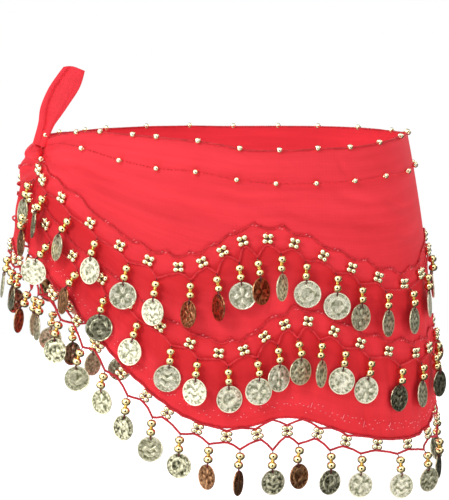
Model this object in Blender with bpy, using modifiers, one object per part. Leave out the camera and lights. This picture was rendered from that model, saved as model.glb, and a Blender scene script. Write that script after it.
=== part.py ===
"""Belly dance hip scarf, worn round the hips and knotted at the left hip, with no wearer inside it.

One length of cloth goes round a general hip form, so it is built as two thin walls, the front stretch
and the back stretch. Three rows of coin drops hang on it, and the third row hangs on a net below the
hem. Both ends of the cloth run into a knot, and one tie end stands up from the knot.

Sizes are in millimetres and degrees, and turn into metres where points are placed. +Z is up, and the
front faces -Y. Angles go round the hip: 0 is the middle of the front, 90 the wearer's side away from
the knot, 180 the middle of the back. The origin is the middle of the waist opening.
"""

import math
from collections import namedtuple

import bmesh
import bpy
from mathutils import Matrix, Vector

MM = 0.001

# The hip form: half widths and half depths at the waist edge and at the widest level below it
WAIST_HALF_WIDTH = 161
WAIST_HALF_DEPTH = 112
HIP_HALF_WIDTH = 186
HIP_HALF_DEPTH = 126
HIP_DROP = 240
WIDTH_CURVE = 1.9
DEPTH_CURVE = 1.6

# The cloth
CLOTH_THICKNESS = 1.5
SIDE_ANGLE = 90
FRONT_END = -74
BACK_END = 283
BACK_END_SLANT = 6
BACK_END_SLANT_FROM = 253
BACK_STRETCH = (BACK_END - SIDE_ANGLE) / (SIDE_ANGLE - FRONT_END)
SIDE_SEAM = 0.08
COLUMNS = 38
COLUMN_CROWDING = 1.2
ROWS = 11

# Levels of the top edge, the rows and the hem along the front, from the knot to the side
Station = namedtuple("Station", "angle top row_1 row_2 hem")
STATIONS = (
    Station(-74, 0, -24, -57, -97),
    Station(-62, 6, -41, -71, -107),
    Station(-50, 9, -53, -90, -125),
    Station(-42, 10, -65, -102, -147),
    Station(-34, 9, -78, -115, -168),
    Station(-26, 8, -90, -132, -191),
    Station(-16, 6, -100, -153, -216),
    Station(-8, 4, -99, -166, -231),
    Station(-1, 1, -88, -173, -236),
    Station(6, -3, -78, -169, -236),
    Station(14, -4, -78, -152, -229),
    Station(22, -4, -84, -147, -231),
    Station(31, -3, -97, -158, -241),
    Station(42, -3, -109, -172, -250),
    Station(57, 0, -121, -181, -255),
    Station(70, 3, -115, -181, -251),
    Station(80, 4, -101, -174, -239),
    Station(90, 5, -92, -168, -229),
)

# The same along the back, from the side to the end under the knot. It is shallower than the front
BACK_STATIONS = (
    Station(90, 5, -92, -168, -229),
    Station(102, 3, -85, -160, -219),
    Station(115, 3, -80, -147, -206),
    Station(130, 3.5, -78, -136, -194),
    Station(146, 3.5, -77, -129, -186),
    Station(162, 3, -76, -126, -183),
    Station(180, 2.5, -76, -126, -183),
    Station(190, 3, -78, -128, -184),
    Station(197, 3, -80, -130, -184),
    Station(205, 3, -82, -131, -182),
    Station(215, 2.5, -82, -128, -174),
    Station(226, 2, -76, -119, -159),
    Station(236, 1, -68, -105, -141),
    Station(245, 1, -57, -91, -124),
    Station(255, 1, -42, -76, -98),
    Station(264, 1, -32, -60, -87),
    Station(270, 1, -26, -51, -93),
    Station(277, 0.5, -18, -45, -102),
    Station(283, 0, -13, -42, -101),
)

# Where the back stretch comes round the left hip, it stands away from the hip
END_BULGE = 10.5
END_BULGE_ANGLE = 267
END_BULGE_REACH = 13
END_BULGE_TOP = 5
END_BULGE_DROP = 22

# Folds that run out from the knot, as rays on the opened cloth
KNOT_LEVEL = -7
CLOTH_PER_DEGREE = 2.55
Fold = namedtuple("Fold", "bearing depth half_width start end")
FOLDS = (
    Fold(5, 2.4, 9, 60, 290),
    Fold(10.5, 2.2, 9, 130, 360),
    Fold(16, 3.4, 10, 25, 260),
    Fold(28.5, 3.0, 11, 30, 180),
    Fold(42, 3.0, 12, 25, 150),
    Fold(58, 2.6, 12, 30, 130),
)
GATHER_DEPTH = 1.8
GATHER_WAVE = 32
GATHER_REACH = 60
KNOT_CALM = 18

# Each hanger is a bead cluster and the coin drop between it and the next cluster: the cluster's angle and
# how far it is below its row's line, and the same for the root that the drop hangs from. A turn says how
# far the coin is turned from the cloth behind it, and None leaves the drop out
Hanger = namedtuple("Hanger", "cluster below root drop front_turn lift back_turn")
HANGERS = {
    "row_1": (
        Hanger(-73, 0, -70.5, 8, None, 0, 10),
        Hanger(-67.5, 0, -64, 4.5, -25, 0, -20),
        Hanger(-56, 0, -50, 7, -28, 0, None),
        Hanger(-41, 0, -38, 5.5, -15, 0, -25),
        Hanger(-30, 0, -27, 7.5, 20, 0, 20),
        Hanger(-21, 0, -18.5, 10.5, -25, 0, -10),
        Hanger(-12.5, 0, -9, 10, -50, 0, 45),
        Hanger(-6, 0, -2, 14.5, -62, 0, 55),
        Hanger(-0.5, 0, 4, 14.5, -5, 5, 0),
        Hanger(5, 0, 9, 14, 45, 0, 40),
        Hanger(12, 0, 15.5, 9, 55, 0, -45),
        Hanger(19.5, 0, 22.5, 10, -15, 0, 15),
        Hanger(28, 0, 31.5, 8, -20, 0, 25),
        Hanger(37, 0, 39.5, 10, 15, 0, -20),
        Hanger(46.5, 0, 49, 7.5, 25, 0, 5),
        Hanger(58, 0, 61.5, 3.5, 15, 0, -25),
        Hanger(70, 0, 74, 3, 12, 0, 15),
        Hanger(84, 0, 88, 6, 5, 0, None),
    ),
    "row_2": (
        Hanger(-71, 0, -67, 8, None, 0, 20),
        Hanger(-62, 0, -58, 6, 30, 0, -15),
        Hanger(-46.5, 0, -44, 5.5, -35, 0, 25),
        Hanger(-35, 0, -33.5, 8.5, 25, 0, -20),
        Hanger(-26, 0, -23.5, 7, -15, 0, 10),
        Hanger(-17, 0, -14, 8.5, 10, 0, -15),
        Hanger(-9, 0, -7, 8.5, -25, 0, 20),
        Hanger(-1.5, 0, 1, 9, 20, 0, -35),
        Hanger(5, 0, 8.5, 11, 10, 4, 20),
        Hanger(10.5, 0, 14, 12.5, 28, 0, 35),
        Hanger(16, 0, 19.5, 12.5, 25, 0, 28),
        Hanger(22.5, 0, 26, 11, 48, 0, 30),
        Hanger(30, 0, 33, 9, -8, 0, 20),
        Hanger(38.5, 0, 41.5, 8, -5, 0, -10),
        Hanger(49, 0, 54, 9.5, 5, 0, 25),
        Hanger(62, 0, 66, 7.5, 10, 0, -15),
        Hanger(72, 0, 76.5, 7, -12, 4, 20),
        Hanger(84, 0, 90.5, 10, 10, 0, None),
    ),
    "row_3": (
        Hanger(-70, 6, -67, 24, -50, 0, 15),
        Hanger(-62, 6, -58, 18.5, -25, 0, 40),
        Hanger(-54, 12, -50, 23.5, 15, 0, -15),
        Hanger(-43, 5.5, -40.5, 19, 30, 0, 20),
        Hanger(-35.5, 6.5, -33, 18, -13, 0, -25),
        Hanger(-28, 6.5, -26, 18, -20, 0, 10),
        Hanger(-21, 6.5, -19, 17.5, 13, 0, 20),
        Hanger(-15, 6, -11.5, 14.5, -10, 0, -25),
        Hanger(-7, 5, -4, 13.5, -48, 0, 35),
        Hanger(0.5, 7, 4, 16.5, 65, 0, -15),
        Hanger(8.5, 8, 12.5, 24, 15, 0, 25),
        Hanger(16.5, 11, 19.5, 20, 30, 0, 40),
        Hanger(25, 9, 28.5, 18, 13, 0, -10),
        Hanger(33.5, 7.5, 38, 13.5, -12, 0, 20),
        Hanger(44.5, 5.5, 52.5, 11, -25, 0, 10),
        Hanger(58, 5, 67.5, 14, -20, 0, -30),
        Hanger(71, 4.5, 84, 26, -8, 0, 15),
        Hanger(86.5, 15, 90, 19, None, 0, None),
    ),
}

# On the strip where the back stretch ends, these stand in for the first two hangers of the front. Each
# has its cluster, then the root, turn and lift of the drop before it, at angles of the front
EndHanger = namedtuple("EndHanger", "cluster below root drop turn lift")
END_HANGERS = {
    "row_1": (
        EndHanger(-60, 0, -58, 7, None, 0),
        EndHanger(-66.5, 0, -63.5, 7, None, 0),
        EndHanger(-72, 0, -70, 12, 25, 0),
    ),
    "row_2": (
        EndHanger(-58.5, 0, -57, 7, None, 0),
        EndHanger(-66, 0, -62, 7, None, 0),
        EndHanger(-71.5, 0, -70, 26, 16, 2),
    ),
    "row_3": (
        EndHanger(-60, 5, -57, 13, None, 0),
        EndHanger(-65.5, 5, -63, 12, 5, 5),
        EndHanger(-71, 5, -68.5, 12, 5, 0),
    ),
}
Cluster = namedtuple("Cluster", "angle below")
Drop = namedtuple("Drop", "root below turn lift")

# The thread net that carries the drops
THREAD_HALF = 0.8
THREAD_OFFSET = 1.9
BULGE_OFFSET = 0.9
ROOT_HALF = 0.8
POST_OVERLAP = 2.5
POST_OFFSET = 1.2

# One drop, measured down from its root
BEAD_HALF = 3.7
BEAD_OFFSET = 4.9
UPPER_BEAD = 6.7
LOWER_BEAD = 15.1
NECK_HALF = 1.1
COIN_MIDDLE = 31.1
COIN_HALF_THICKNESS = 0.6
COIN_OFFSET = 1.9
COIN_RADIUS = {"row_1": 12, "row_2": 12, "row_3": 10.8}
OVER_THREAD = 3.4
THREAD_MARGIN = 4
LINES_BELOW = {"row_1": ("row_2", "hem"), "row_2": ("hem",), "row_3": ()}

# The knot, and the tie end that stands up from it as a folded band. The knot lies over the ends of both
# stretches, so its inner side dips between them
KNOT_ANGLE = -76
KNOT_HALF = Vector((8, 10, 10))
KNOT_SEAT = -0.25
TieSection = namedtuple("TieSection", "x y z half_width")
TieStep = namedtuple("TieStep", "angle x y z half_width")
TIE_SECTIONS = (
    TieSection(-162, -31.5, 3.4, 6),
    TieSection(-154.5, -36, 13, 6.6),
    TieSection(-150, -36, 25, 9.5),
    TieSection(-143, -35, 38, 11),
    TieSection(-135.5, -34, 49.5, 11),
    TieSection(-130.5, -33, 58.5, 9.5),
    TieSection(-127, -33, 64, 7.5),
)
TIE_THICKNESS = 3.0
TIE_COLUMNS = 4
TIE_ROWS = 12
TIE_HOLLOW = 2.2

SCARF_RED = (0.80, 0.035, 0.055, 1)
COIN_GOLD = (0.78, 0.66, 0.34, 1)


def clear_scene():
    """Removes every object of the scene."""
    for obj in list(bpy.data.objects):
        bpy.data.objects.remove(obj, do_unlink=True)


def smooth(share):
    """Eases from 0 to 1, and stays there on either side."""
    share = min(1, max(0, share))
    return share * share * (3 - 2 * share)


def read_curve(table, column, angle):
    """Reads a column of a table by angle, as a smooth curve through its rows."""
    angles = [row.angle for row in table]
    values = [getattr(row, column) for row in table]
    angle = min(angles[-1], max(angles[0], angle))
    last = len(table) - 1
    i = next(k for k in range(last) if angle <= angles[k + 1])

    def slope(k):
        low, high = max(0, k - 1), min(last, k + 1)
        return (values[high] - values[low]) / (angles[high] - angles[low])

    step = angles[i + 1] - angles[i]
    t = (angle - angles[i]) / step
    start = (1 + 2 * t) * (1 - t) ** 2 * values[i] + t * (1 - t) ** 2 * step * slope(i)
    end = t * t * (3 - 2 * t) * values[i + 1] - t * t * (1 - t) * step * slope(i + 1)
    return start + end


def station_angle(angle):
    """The angle on the front stretch that matches this angle, on either stretch."""
    if angle <= SIDE_ANGLE:
        return angle
    return SIDE_ANGLE - (angle - SIDE_ANGLE) / BACK_STRETCH


def back_angle(angle):
    """The angle on the back stretch that matches this angle of the front stretch."""
    return SIDE_ANGLE + (SIDE_ANGLE - angle) * BACK_STRETCH


def level(column, angle):
    """The height of the top edge, a row or the hem at this angle."""
    return read_curve(STATIONS if angle <= SIDE_ANGLE else BACK_STATIONS, column, angle)


def half_sizes(z):
    """Half width and half depth of the hip form at this height."""
    rest = min(1.2, max(0, 1 + z / HIP_DROP))
    width = WAIST_HALF_WIDTH + (HIP_HALF_WIDTH - WAIST_HALF_WIDTH) * (1 - rest**WIDTH_CURVE)
    depth = WAIST_HALF_DEPTH + (HIP_HALF_DEPTH - WAIST_HALF_DEPTH) * (1 - rest**DEPTH_CURVE)
    return width, depth


def outward(angle, z):
    """The level direction that points away from the hip form."""
    width, depth = half_sizes(z)
    turn = math.radians(angle)
    return Vector((math.sin(turn) / width, -math.cos(turn) / depth, 0)).normalized()


def relief(angle, z):
    """How far the folds and the free end of the back stretch move the cloth out from the hip form."""
    along = (station_angle(angle) - FRONT_END) * CLOTH_PER_DEGREE
    down = KNOT_LEVEL - z
    reach = math.hypot(along, down)
    bearing = math.degrees(math.atan2(down, along))
    wave = math.cos(math.radians(bearing * 360 / GATHER_WAVE))
    moved = GATHER_DEPTH * wave * math.exp(-reach / GATHER_REACH)
    moved += END_BULGE * smooth((END_BULGE_TOP - z) / END_BULGE_DROP) * math.exp(
        -(((angle - END_BULGE_ANGLE) / END_BULGE_REACH) ** 2)
    )
    moved *= smooth((reach - KNOT_CALM) / KNOT_CALM)
    for fold in FOLDS:
        aside = reach * math.sin(math.radians(bearing - fold.bearing))
        window = smooth((reach - fold.start) / 40) * smooth((fold.end - reach) / 60)
        moved -= fold.depth * window * math.exp(-((aside / fold.half_width) ** 2))
    return moved


def on_cloth(angle, z, offset):
    """A point off the cloth's outer face, in millimetres."""
    width, depth = half_sizes(z)
    turn = math.radians(angle)
    point = Vector((width * math.sin(turn), -depth * math.cos(turn), z))
    return point + outward(angle, z) * (offset + relief(angle, z))


def length_per_degree(angle, z):
    """Length along the hip form for each degree."""
    width, depth = half_sizes(z)
    turn = math.radians(angle)
    return math.radians(1) * math.hypot(width * math.cos(turn), depth * math.sin(turn))


def thread_offset(angle):
    """How far a thread's middle lies off the cloth, with more where the cloth bulges."""
    return THREAD_OFFSET + BULGE_OFFSET * math.exp(-(((angle - END_BULGE_ANGLE) / END_BULGE_REACH) ** 2))


def finish(name, bm, color, roughness, metallic, collection):
    """Makes one named object, with its own material, from a bmesh in millimetres."""
    mesh = bpy.data.meshes.new(name)
    bmesh.ops.scale(bm, vec=(MM, MM, MM), verts=bm.verts)
    bm.to_mesh(mesh)
    bm.free()
    material = bpy.data.materials.new(name)
    material.use_nodes = True
    shader = material.node_tree.nodes["Principled BSDF"]
    shader.inputs["Base Color"].default_value = color
    shader.inputs["Roughness"].default_value = roughness
    shader.inputs["Metallic"].default_value = metallic
    mesh.materials.append(material)
    obj = bpy.data.objects.new(name, mesh)
    collection.objects.link(obj)
    return obj


def thicken(obj, thickness, offset):
    """Gives an open surface its thickness."""
    wall = obj.modifiers.new("Thickness", "SOLIDIFY")
    wall.thickness = thickness * MM
    wall.offset = offset
    wall.use_even_offset = True


def make_wall(name, first_angle, last_angle, collection):
    """One stretch of the cloth between two angles, from the top edge to the hem."""
    bm = bmesh.new()
    bmesh.ops.create_grid(bm, x_segments=COLUMNS, y_segments=ROWS, size=0.5)
    for vert in bm.verts:
        round_share = vert.co.x + 0.5
        if first_angle == FRONT_END:
            round_share = round_share**COLUMN_CROWDING
        else:
            round_share = 1 - (1 - round_share) ** COLUMN_CROWDING
        angle = first_angle + (last_angle - first_angle) * round_share
        share = 0.5 - vert.co.y
        slant = smooth((angle - BACK_END_SLANT_FROM) / (BACK_END - BACK_END_SLANT_FROM))
        angle -= BACK_END_SLANT * share * slant
        top, hem = level("top", angle), level("hem", angle)
        vert.co = on_cloth(angle, top + (hem - top) * share, 0)
    wall = finish(name, bm, SCARF_RED, 0.75, 0, collection)
    wall.data.shade_smooth()
    thicken(wall, CLOTH_THICKNESS, -1)


def grow(bm, face, ring, corners):
    """Extrudes a four-sided face to new corners. Gives the new face, and its points in the order of ring."""
    grown = bmesh.ops.extrude_discrete_faces(bm, faces=[face])["faces"][0]
    new_ring = [min(grown.verts, key=lambda vert, old=old: (vert.co - old.co).length) for old in ring]
    for vert, corner in zip(new_ring, corners):
        vert.co = corner
    return grown, new_ring


def square(middle, along, half_along, across, half_across):
    """Four corners round a middle point, in the order that grow keeps."""
    a, b = along * half_along, across * half_across
    return [middle - a + b, middle - a - b, middle + a - b, middle + a + b]


def face_of(verts):
    """The face that has all these points."""
    return next(face for face in verts[0].link_faces if all(vert in face.verts for vert in verts))


def line_of(row):
    """The column of levels that a row follows."""
    return "hem" if row == "row_3" else row


def thread_frames(stops):
    """For each stop of a thread, its middle and the directions along, out of the cloth and across."""
    points = [on_cloth(angle, z, thread_offset(angle)) for angle, z in stops]
    frames = []
    for i, (angle, z) in enumerate(stops):
        along = (points[min(i + 1, len(points) - 1)] - points[max(i - 1, 0)]).normalized()
        out = outward(angle, z)
        across = out.cross(along).normalized()
        frames.append((points[i], along, out, across))
    return frames


def drop_rings(row, root, turn, lift, over_thread):
    """The four-cornered rings of one drop below its root: two beads on a thread, and a coin."""
    angle, z = root
    rings = []
    out = outward(angle, z)
    along = out.cross(Vector((0, 0, -1))).normalized()
    radius = COIN_RADIUS[row]
    coin_offset = COIN_OFFSET + lift + radius * abs(math.sin(math.radians(turn)))
    if over_thread:
        coin_offset += OVER_THREAD
    bead_offset = BEAD_OFFSET + (OVER_THREAD if over_thread else 0)
    bead_offset = max(bead_offset, min(coin_offset, bead_offset + 2))
    neck = (UPPER_BEAD + LOWER_BEAD) / 2
    for down, half in ((UPPER_BEAD, BEAD_HALF), (neck, NECK_HALF), (LOWER_BEAD, BEAD_HALF)):
        middle = on_cloth(angle, z - down, bead_offset)
        rings.append(square(middle, along, half, out, half))
    middle = on_cloth(angle, z - COIN_MIDDLE, coin_offset)
    top = on_cloth(angle, z - COIN_MIDDLE + radius, coin_offset)
    bottom = on_cloth(angle, z - COIN_MIDDLE - radius, coin_offset)
    upward = (top - bottom).normalized()
    turned = Matrix.Rotation(math.radians(turn), 3, upward)
    along, out = turned @ along, turned @ out
    corner = radius * math.tan(math.radians(22.5))
    for up, half in ((radius, corner), (corner, radius), (-corner, radius), (-radius, corner)):
        rings.append(square(middle + upward * up, along, half, out, COIN_HALF_THICKNESS))
    return rings


def make_fringe(name, row, clusters, drops, joined_end, collection):
    """One row of coin drops on one stretch, all fused to the thread that carries them.

    Each drop comes after the cluster with the same number. With joined_end, the last cluster belongs to
    the next stretch, and the thread stops at the drop before it.
    """
    line = line_of(row)
    stops, roots, posts = [], {}, {}
    for i, (angle, below) in enumerate(clusters):
        z = level(line, angle) - below
        if i < len(clusters) - 1 or not joined_end:
            pair = ROOT_HALF / length_per_degree(angle, z)
            if row == "row_3":
                posts[len(stops)] = angle
                stops += [(angle - pair, z), (angle + pair, z)]
            else:
                stops.append((angle, z))
        if i == len(clusters) - 1:
            break
        drop = drops[i]
        root = (drop.root, level(line, drop.root) - drop.below)
        pair = ROOT_HALF / length_per_degree(*root)
        if drop.turn is not None:
            roots[len(stops)] = (root, drop.turn, drop.lift)
        stops += [(root[0] - pair, root[1]), (root[0] + pair, root[1])]
    bm = bmesh.new()
    frames = thread_frames(stops)
    threads = []
    face = ring = None
    for middle, along, out, across in frames:
        corners = square(middle, out, -THREAD_HALF, across, THREAD_HALF)
        if face is None:
            ring = [bm.verts.new(corner) for corner in corners]
            face = bm.faces.new(ring)
        else:
            face, ring = grow(bm, face, ring, corners)
        threads.append(ring)
    bm.faces.new(reversed(threads[0]))
    for i, (root, turn, lift) in roots.items():
        ring = [threads[i][1], threads[i][2], threads[i + 1][2], threads[i + 1][1]]
        face = face_of(ring)
        reach = root[1] - COIN_MIDDLE - COIN_RADIUS[row]
        over_thread = any(reach < level(other, root[0]) + THREAD_MARGIN for other in LINES_BELOW[row])
        for corners in drop_rings(row, root, turn, lift, over_thread):
            face, ring = grow(bm, face, ring, corners)
    for i, angle in posts.items():
        ring = [threads[i][0], threads[i][3], threads[i + 1][3], threads[i + 1][0]]
        face = face_of(ring)
        z = level("hem", angle) + POST_OVERLAP
        out = outward(angle, z)
        along = (frames[i + 1][0] - frames[i][0]).normalized()
        corners = square(on_cloth(angle, z, POST_OFFSET), along, ROOT_HALF, out, THREAD_HALF)
        grow(bm, face, ring, corners)
    bmesh.ops.recalc_face_normals(bm, faces=bm.faces)
    finish(name, bm, COIN_GOLD, 0.3, 0.9, collection)


def make_knot(collection):
    """The knot at the left hip, a flattened ball that lies on the ends of both stretches."""
    bm = bmesh.new()
    bmesh.ops.create_uvsphere(bm, u_segments=12, v_segments=8, radius=1)
    out = outward(KNOT_ANGLE, KNOT_LEVEL)
    seat = on_cloth(KNOT_ANGLE, KNOT_LEVEL, KNOT_HALF.x + KNOT_SEAT)
    along = Vector((0, 0, 1)).cross(out)
    axes = Matrix((out * KNOT_HALF.x, along * KNOT_HALF.y, Vector((0, 0, KNOT_HALF.z)))).transposed()
    bmesh.ops.transform(bm, matrix=Matrix.Translation(seat) @ axes.to_4x4(), verts=bm.verts)
    bmesh.ops.recalc_face_normals(bm, faces=bm.faces)
    knot = finish("knot", bm, SCARF_RED, 0.75, 0, collection)
    knot.data.shade_smooth()


def make_tie_end(collection):
    """The tie end above the knot: two layers of a band pressed together, hollowed along the middle."""
    bm = bmesh.new()
    bmesh.ops.create_grid(bm, x_segments=TIE_COLUMNS, y_segments=TIE_ROWS, size=0.5)
    steps = [TieStep(index, *section) for index, section in enumerate(TIE_SECTIONS)]
    last = len(steps) - 1
    for vert in bm.verts:
        place = (vert.co.y + 0.5) * last
        aside = 2 * vert.co.x
        x, y, z, half = (read_curve(steps, column, place) for column in ("x", "y", "z", "half_width"))
        before, after = max(0, place - 0.2), min(last, place + 0.2)
        run = read_curve(steps, "x", after) - read_curve(steps, "x", before)
        rise = read_curve(steps, "z", after) - read_curve(steps, "z", before)
        across = Vector((rise, 0, -run)).normalized()
        hollow = TIE_HOLLOW * (1 - aside * aside) * math.sin(math.pi * place / last)
        vert.co = Vector((x, y + hollow, z)) + across * half * aside
        if place == 0:
            vert.co.z = z
    tie = finish("tie_end", bm, SCARF_RED, 0.75, 0, collection)
    tie.data.shade_smooth()
    thicken(tie, TIE_THICKNESS, 0)


def make_scarf():
    """Builds the whole scarf in a collection of its own."""
    clear_scene()
    collection = bpy.data.collections.new("hip_scarf")
    bpy.context.scene.collection.children.link(collection)
    make_wall("scarf_front", FRONT_END, SIDE_ANGLE - SIDE_SEAM, collection)
    make_wall("scarf_back", SIDE_ANGLE + SIDE_SEAM, BACK_END, collection)
    for row, hangers in HANGERS.items():
        front = [Cluster(hanger.cluster, hanger.below) for hanger in hangers]
        front_drops = [Drop(hanger.root, hanger.drop, hanger.front_turn, hanger.lift) for hanger in hangers]
        back = [Cluster(back_angle(hanger.cluster), hanger.below) for hanger in reversed(hangers[2:])]
        back_drops = [
            Drop(back_angle(hanger.root), hanger.drop, hanger.back_turn, hanger.lift)
            for hanger in reversed(hangers[2:-1])
        ]
        ends = END_HANGERS[row]
        back += [Cluster(back_angle(end.cluster), end.below) for end in ends]
        back_drops += [Drop(back_angle(end.root), end.drop, end.turn, end.lift) for end in ends]
        make_fringe(f"{row}_front", row, front + back[:1], front_drops, True, collection)
        make_fringe(f"{row}_back", row, back, back_drops, False, collection)
    make_knot(collection)
    make_tie_end(collection)


make_scarf()
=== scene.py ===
"""Dresses the belly dance hip scarf: its cloth, knot, tie end, thread nets, beads and coins.

Tables and sizes are in millimetres and degrees, as on the part, and turn into metres when a mesh is
finished. Angles go round the hip: 0 is the middle of the front, 90 the side away from the knot, 180
the middle of the back. Levels are heights, and the waist opening is at 0.
"""

import logging
import math
from collections.abc import Iterable, Sequence
from dataclasses import dataclass
from enum import Enum
from functools import cache
from typing import Any, NamedTuple

import bmesh
import bpy
from mathutils import Matrix, Vector


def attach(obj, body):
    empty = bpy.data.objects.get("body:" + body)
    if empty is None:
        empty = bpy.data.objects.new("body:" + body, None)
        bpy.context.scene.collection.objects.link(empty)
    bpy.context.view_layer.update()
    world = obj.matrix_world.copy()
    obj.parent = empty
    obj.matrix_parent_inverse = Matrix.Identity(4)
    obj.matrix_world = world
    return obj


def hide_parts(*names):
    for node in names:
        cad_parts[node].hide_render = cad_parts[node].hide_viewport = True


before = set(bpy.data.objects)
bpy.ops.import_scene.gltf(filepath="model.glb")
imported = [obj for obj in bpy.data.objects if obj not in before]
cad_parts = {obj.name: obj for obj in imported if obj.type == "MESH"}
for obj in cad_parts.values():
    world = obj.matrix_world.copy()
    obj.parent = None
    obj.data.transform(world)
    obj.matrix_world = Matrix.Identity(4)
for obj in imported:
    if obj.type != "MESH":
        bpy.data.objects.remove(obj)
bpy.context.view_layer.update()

log = logging.getLogger("hip_scarf")

MM = 0.001
Colour = tuple[float, float, float, float]

# Angle, height and distance from the cloth
Stop = tuple[float, float, float]

# Positions on a ramp, with their strengths
Stops = tuple[tuple[float, float], ...]


class Slot(Enum):
    """The record's material slots."""

    CLOTH = "cloth"
    THREAD = "thread"
    COINS = "coins"


class PatinaAndReflection(Enum):
    """How a coin looks, which picks its material: aged plating together with painted reflections, the coppery
    tone for the red cloth mirrored in the coin and the olive and dark tones for dark surroundings mirrored in
    it.
    """

    PALE = 0
    OLIVE = 1
    COPPER = 2
    DARK = 3


class Motif(Enum):
    """The plain ornament in the middle of a coin."""

    ROSETTE = 0
    CRESCENT = 1
    WAVES = 2


class Station(NamedTuple):
    """Levels of the top edge, the rows and the hem at one angle of the front."""

    angle: float
    top: float
    row_1: float
    row_2: float
    hem: float


class Fold(NamedTuple):
    """A fold that runs out from the knot, as a ray on the opened cloth."""

    bearing: float
    depth: float
    half_width: float
    start: float
    end: float


class Crease(NamedTuple):
    """A soft trough between two places on the cloth. A negative depth makes it a ridge."""

    angle: float
    level: float
    to_angle: float
    to_level: float
    depth: float
    half_width: float


class Hanger(NamedTuple):
    """A bead cluster and the drop between it and the next one.

    The cluster and the drop's root each have an angle and a depth below the row's line. A turn says how
    far the coin is turned from the cloth behind it, and None leaves the drop out. The beads lean, and the
    coin swings, by degrees from upright.
    """

    cluster: float
    below: float
    root: float
    drop: float
    front_turn: float | None
    lift: float
    back_turn: float | None
    lean: float
    swing: float
    patina_and_reflection: PatinaAndReflection


class EndHanger(NamedTuple):
    """A cluster on the strip where the back stretch ends, and the drop before it."""

    cluster: float
    below: float
    root: float
    drop: float
    turn: float | None
    lift: float
    lean: float
    swing: float
    patina_and_reflection: PatinaAndReflection


class Spot(NamedTuple):
    """A place on the cloth."""

    angle: float
    level: float


class Drop(NamedTuple):
    """One drop: the place that it hangs from, and how it hangs."""

    root: Spot
    turn: float | None
    lift: float
    lean: float
    swing: float
    patina_and_reflection: PatinaAndReflection


class DropPlaces(NamedTuple):
    """Middles of a drop's two beads and its coin, and the coin's hole, top and bottom."""

    upper: Vector
    lower: Vector
    middle: Vector
    hole: Vector
    top: Vector
    bottom: Vector


STATIONS = (
    Station(-74, 0, -24, -57, -97),
    Station(-62, 6, -41, -71, -107),
    Station(-50, 9, -53, -90, -125),
    Station(-42, 10, -65, -102, -147),
    Station(-34, 9, -78, -115, -168),
    Station(-26, 8, -90, -132, -191),
    Station(-16, 6, -100, -153, -216),
    Station(-8, 4, -99, -166, -231),
    Station(-1, 1, -88, -173, -236),
    Station(6, -3, -78, -169, -236),
    Station(14, -4, -78, -152, -229),
    Station(22, -4, -84, -147, -231),
    Station(31, -3, -97, -158, -241),
    Station(42, -3, -109, -172, -250),
    Station(57, 0, -121, -181, -255),
    Station(70, 3, -115, -181, -251),
    Station(80, 4, -101, -174, -239),
    Station(90, 5, -92, -168, -229),
)
BACK_STATIONS = (
    Station(90, 5, -92, -168, -229),
    Station(102, 3, -85, -160, -219),
    Station(115, 3, -80, -147, -206),
    Station(130, 3.5, -78, -136, -194),
    Station(146, 3.5, -77, -129, -186),
    Station(162, 3, -76, -126, -183),
    Station(180, 2.5, -76, -126, -183),
    Station(190, 3, -78, -128, -184),
    Station(197, 3, -80, -130, -184),
    Station(205, 3, -82, -131, -182),
    Station(215, 2.5, -82, -128, -174),
    Station(226, 2, -76, -119, -159),
    Station(236, 1, -68, -105, -141),
    Station(245, 1, -57, -91, -124),
    Station(255, 1, -44, -76, -98),
    Station(264, 1, -38, -64, -88),
    Station(270, 1, -36, -60, -93),
    Station(277, 0.5, -33, -58, -102),
    Station(284.5, 0, -30, -56, -101),
)
FOLDS = (
    Fold(5, 2.4, 9, 60, 290),
    Fold(10.5, 2.2, 9, 130, 360),
    Fold(16, 3.4, 10, 25, 260),
    Fold(28.5, 3.0, 11, 30, 180),
    Fold(42, 3.0, 12, 25, 150),
    Fold(58, 2.6, 12, 30, 130),
)

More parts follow.
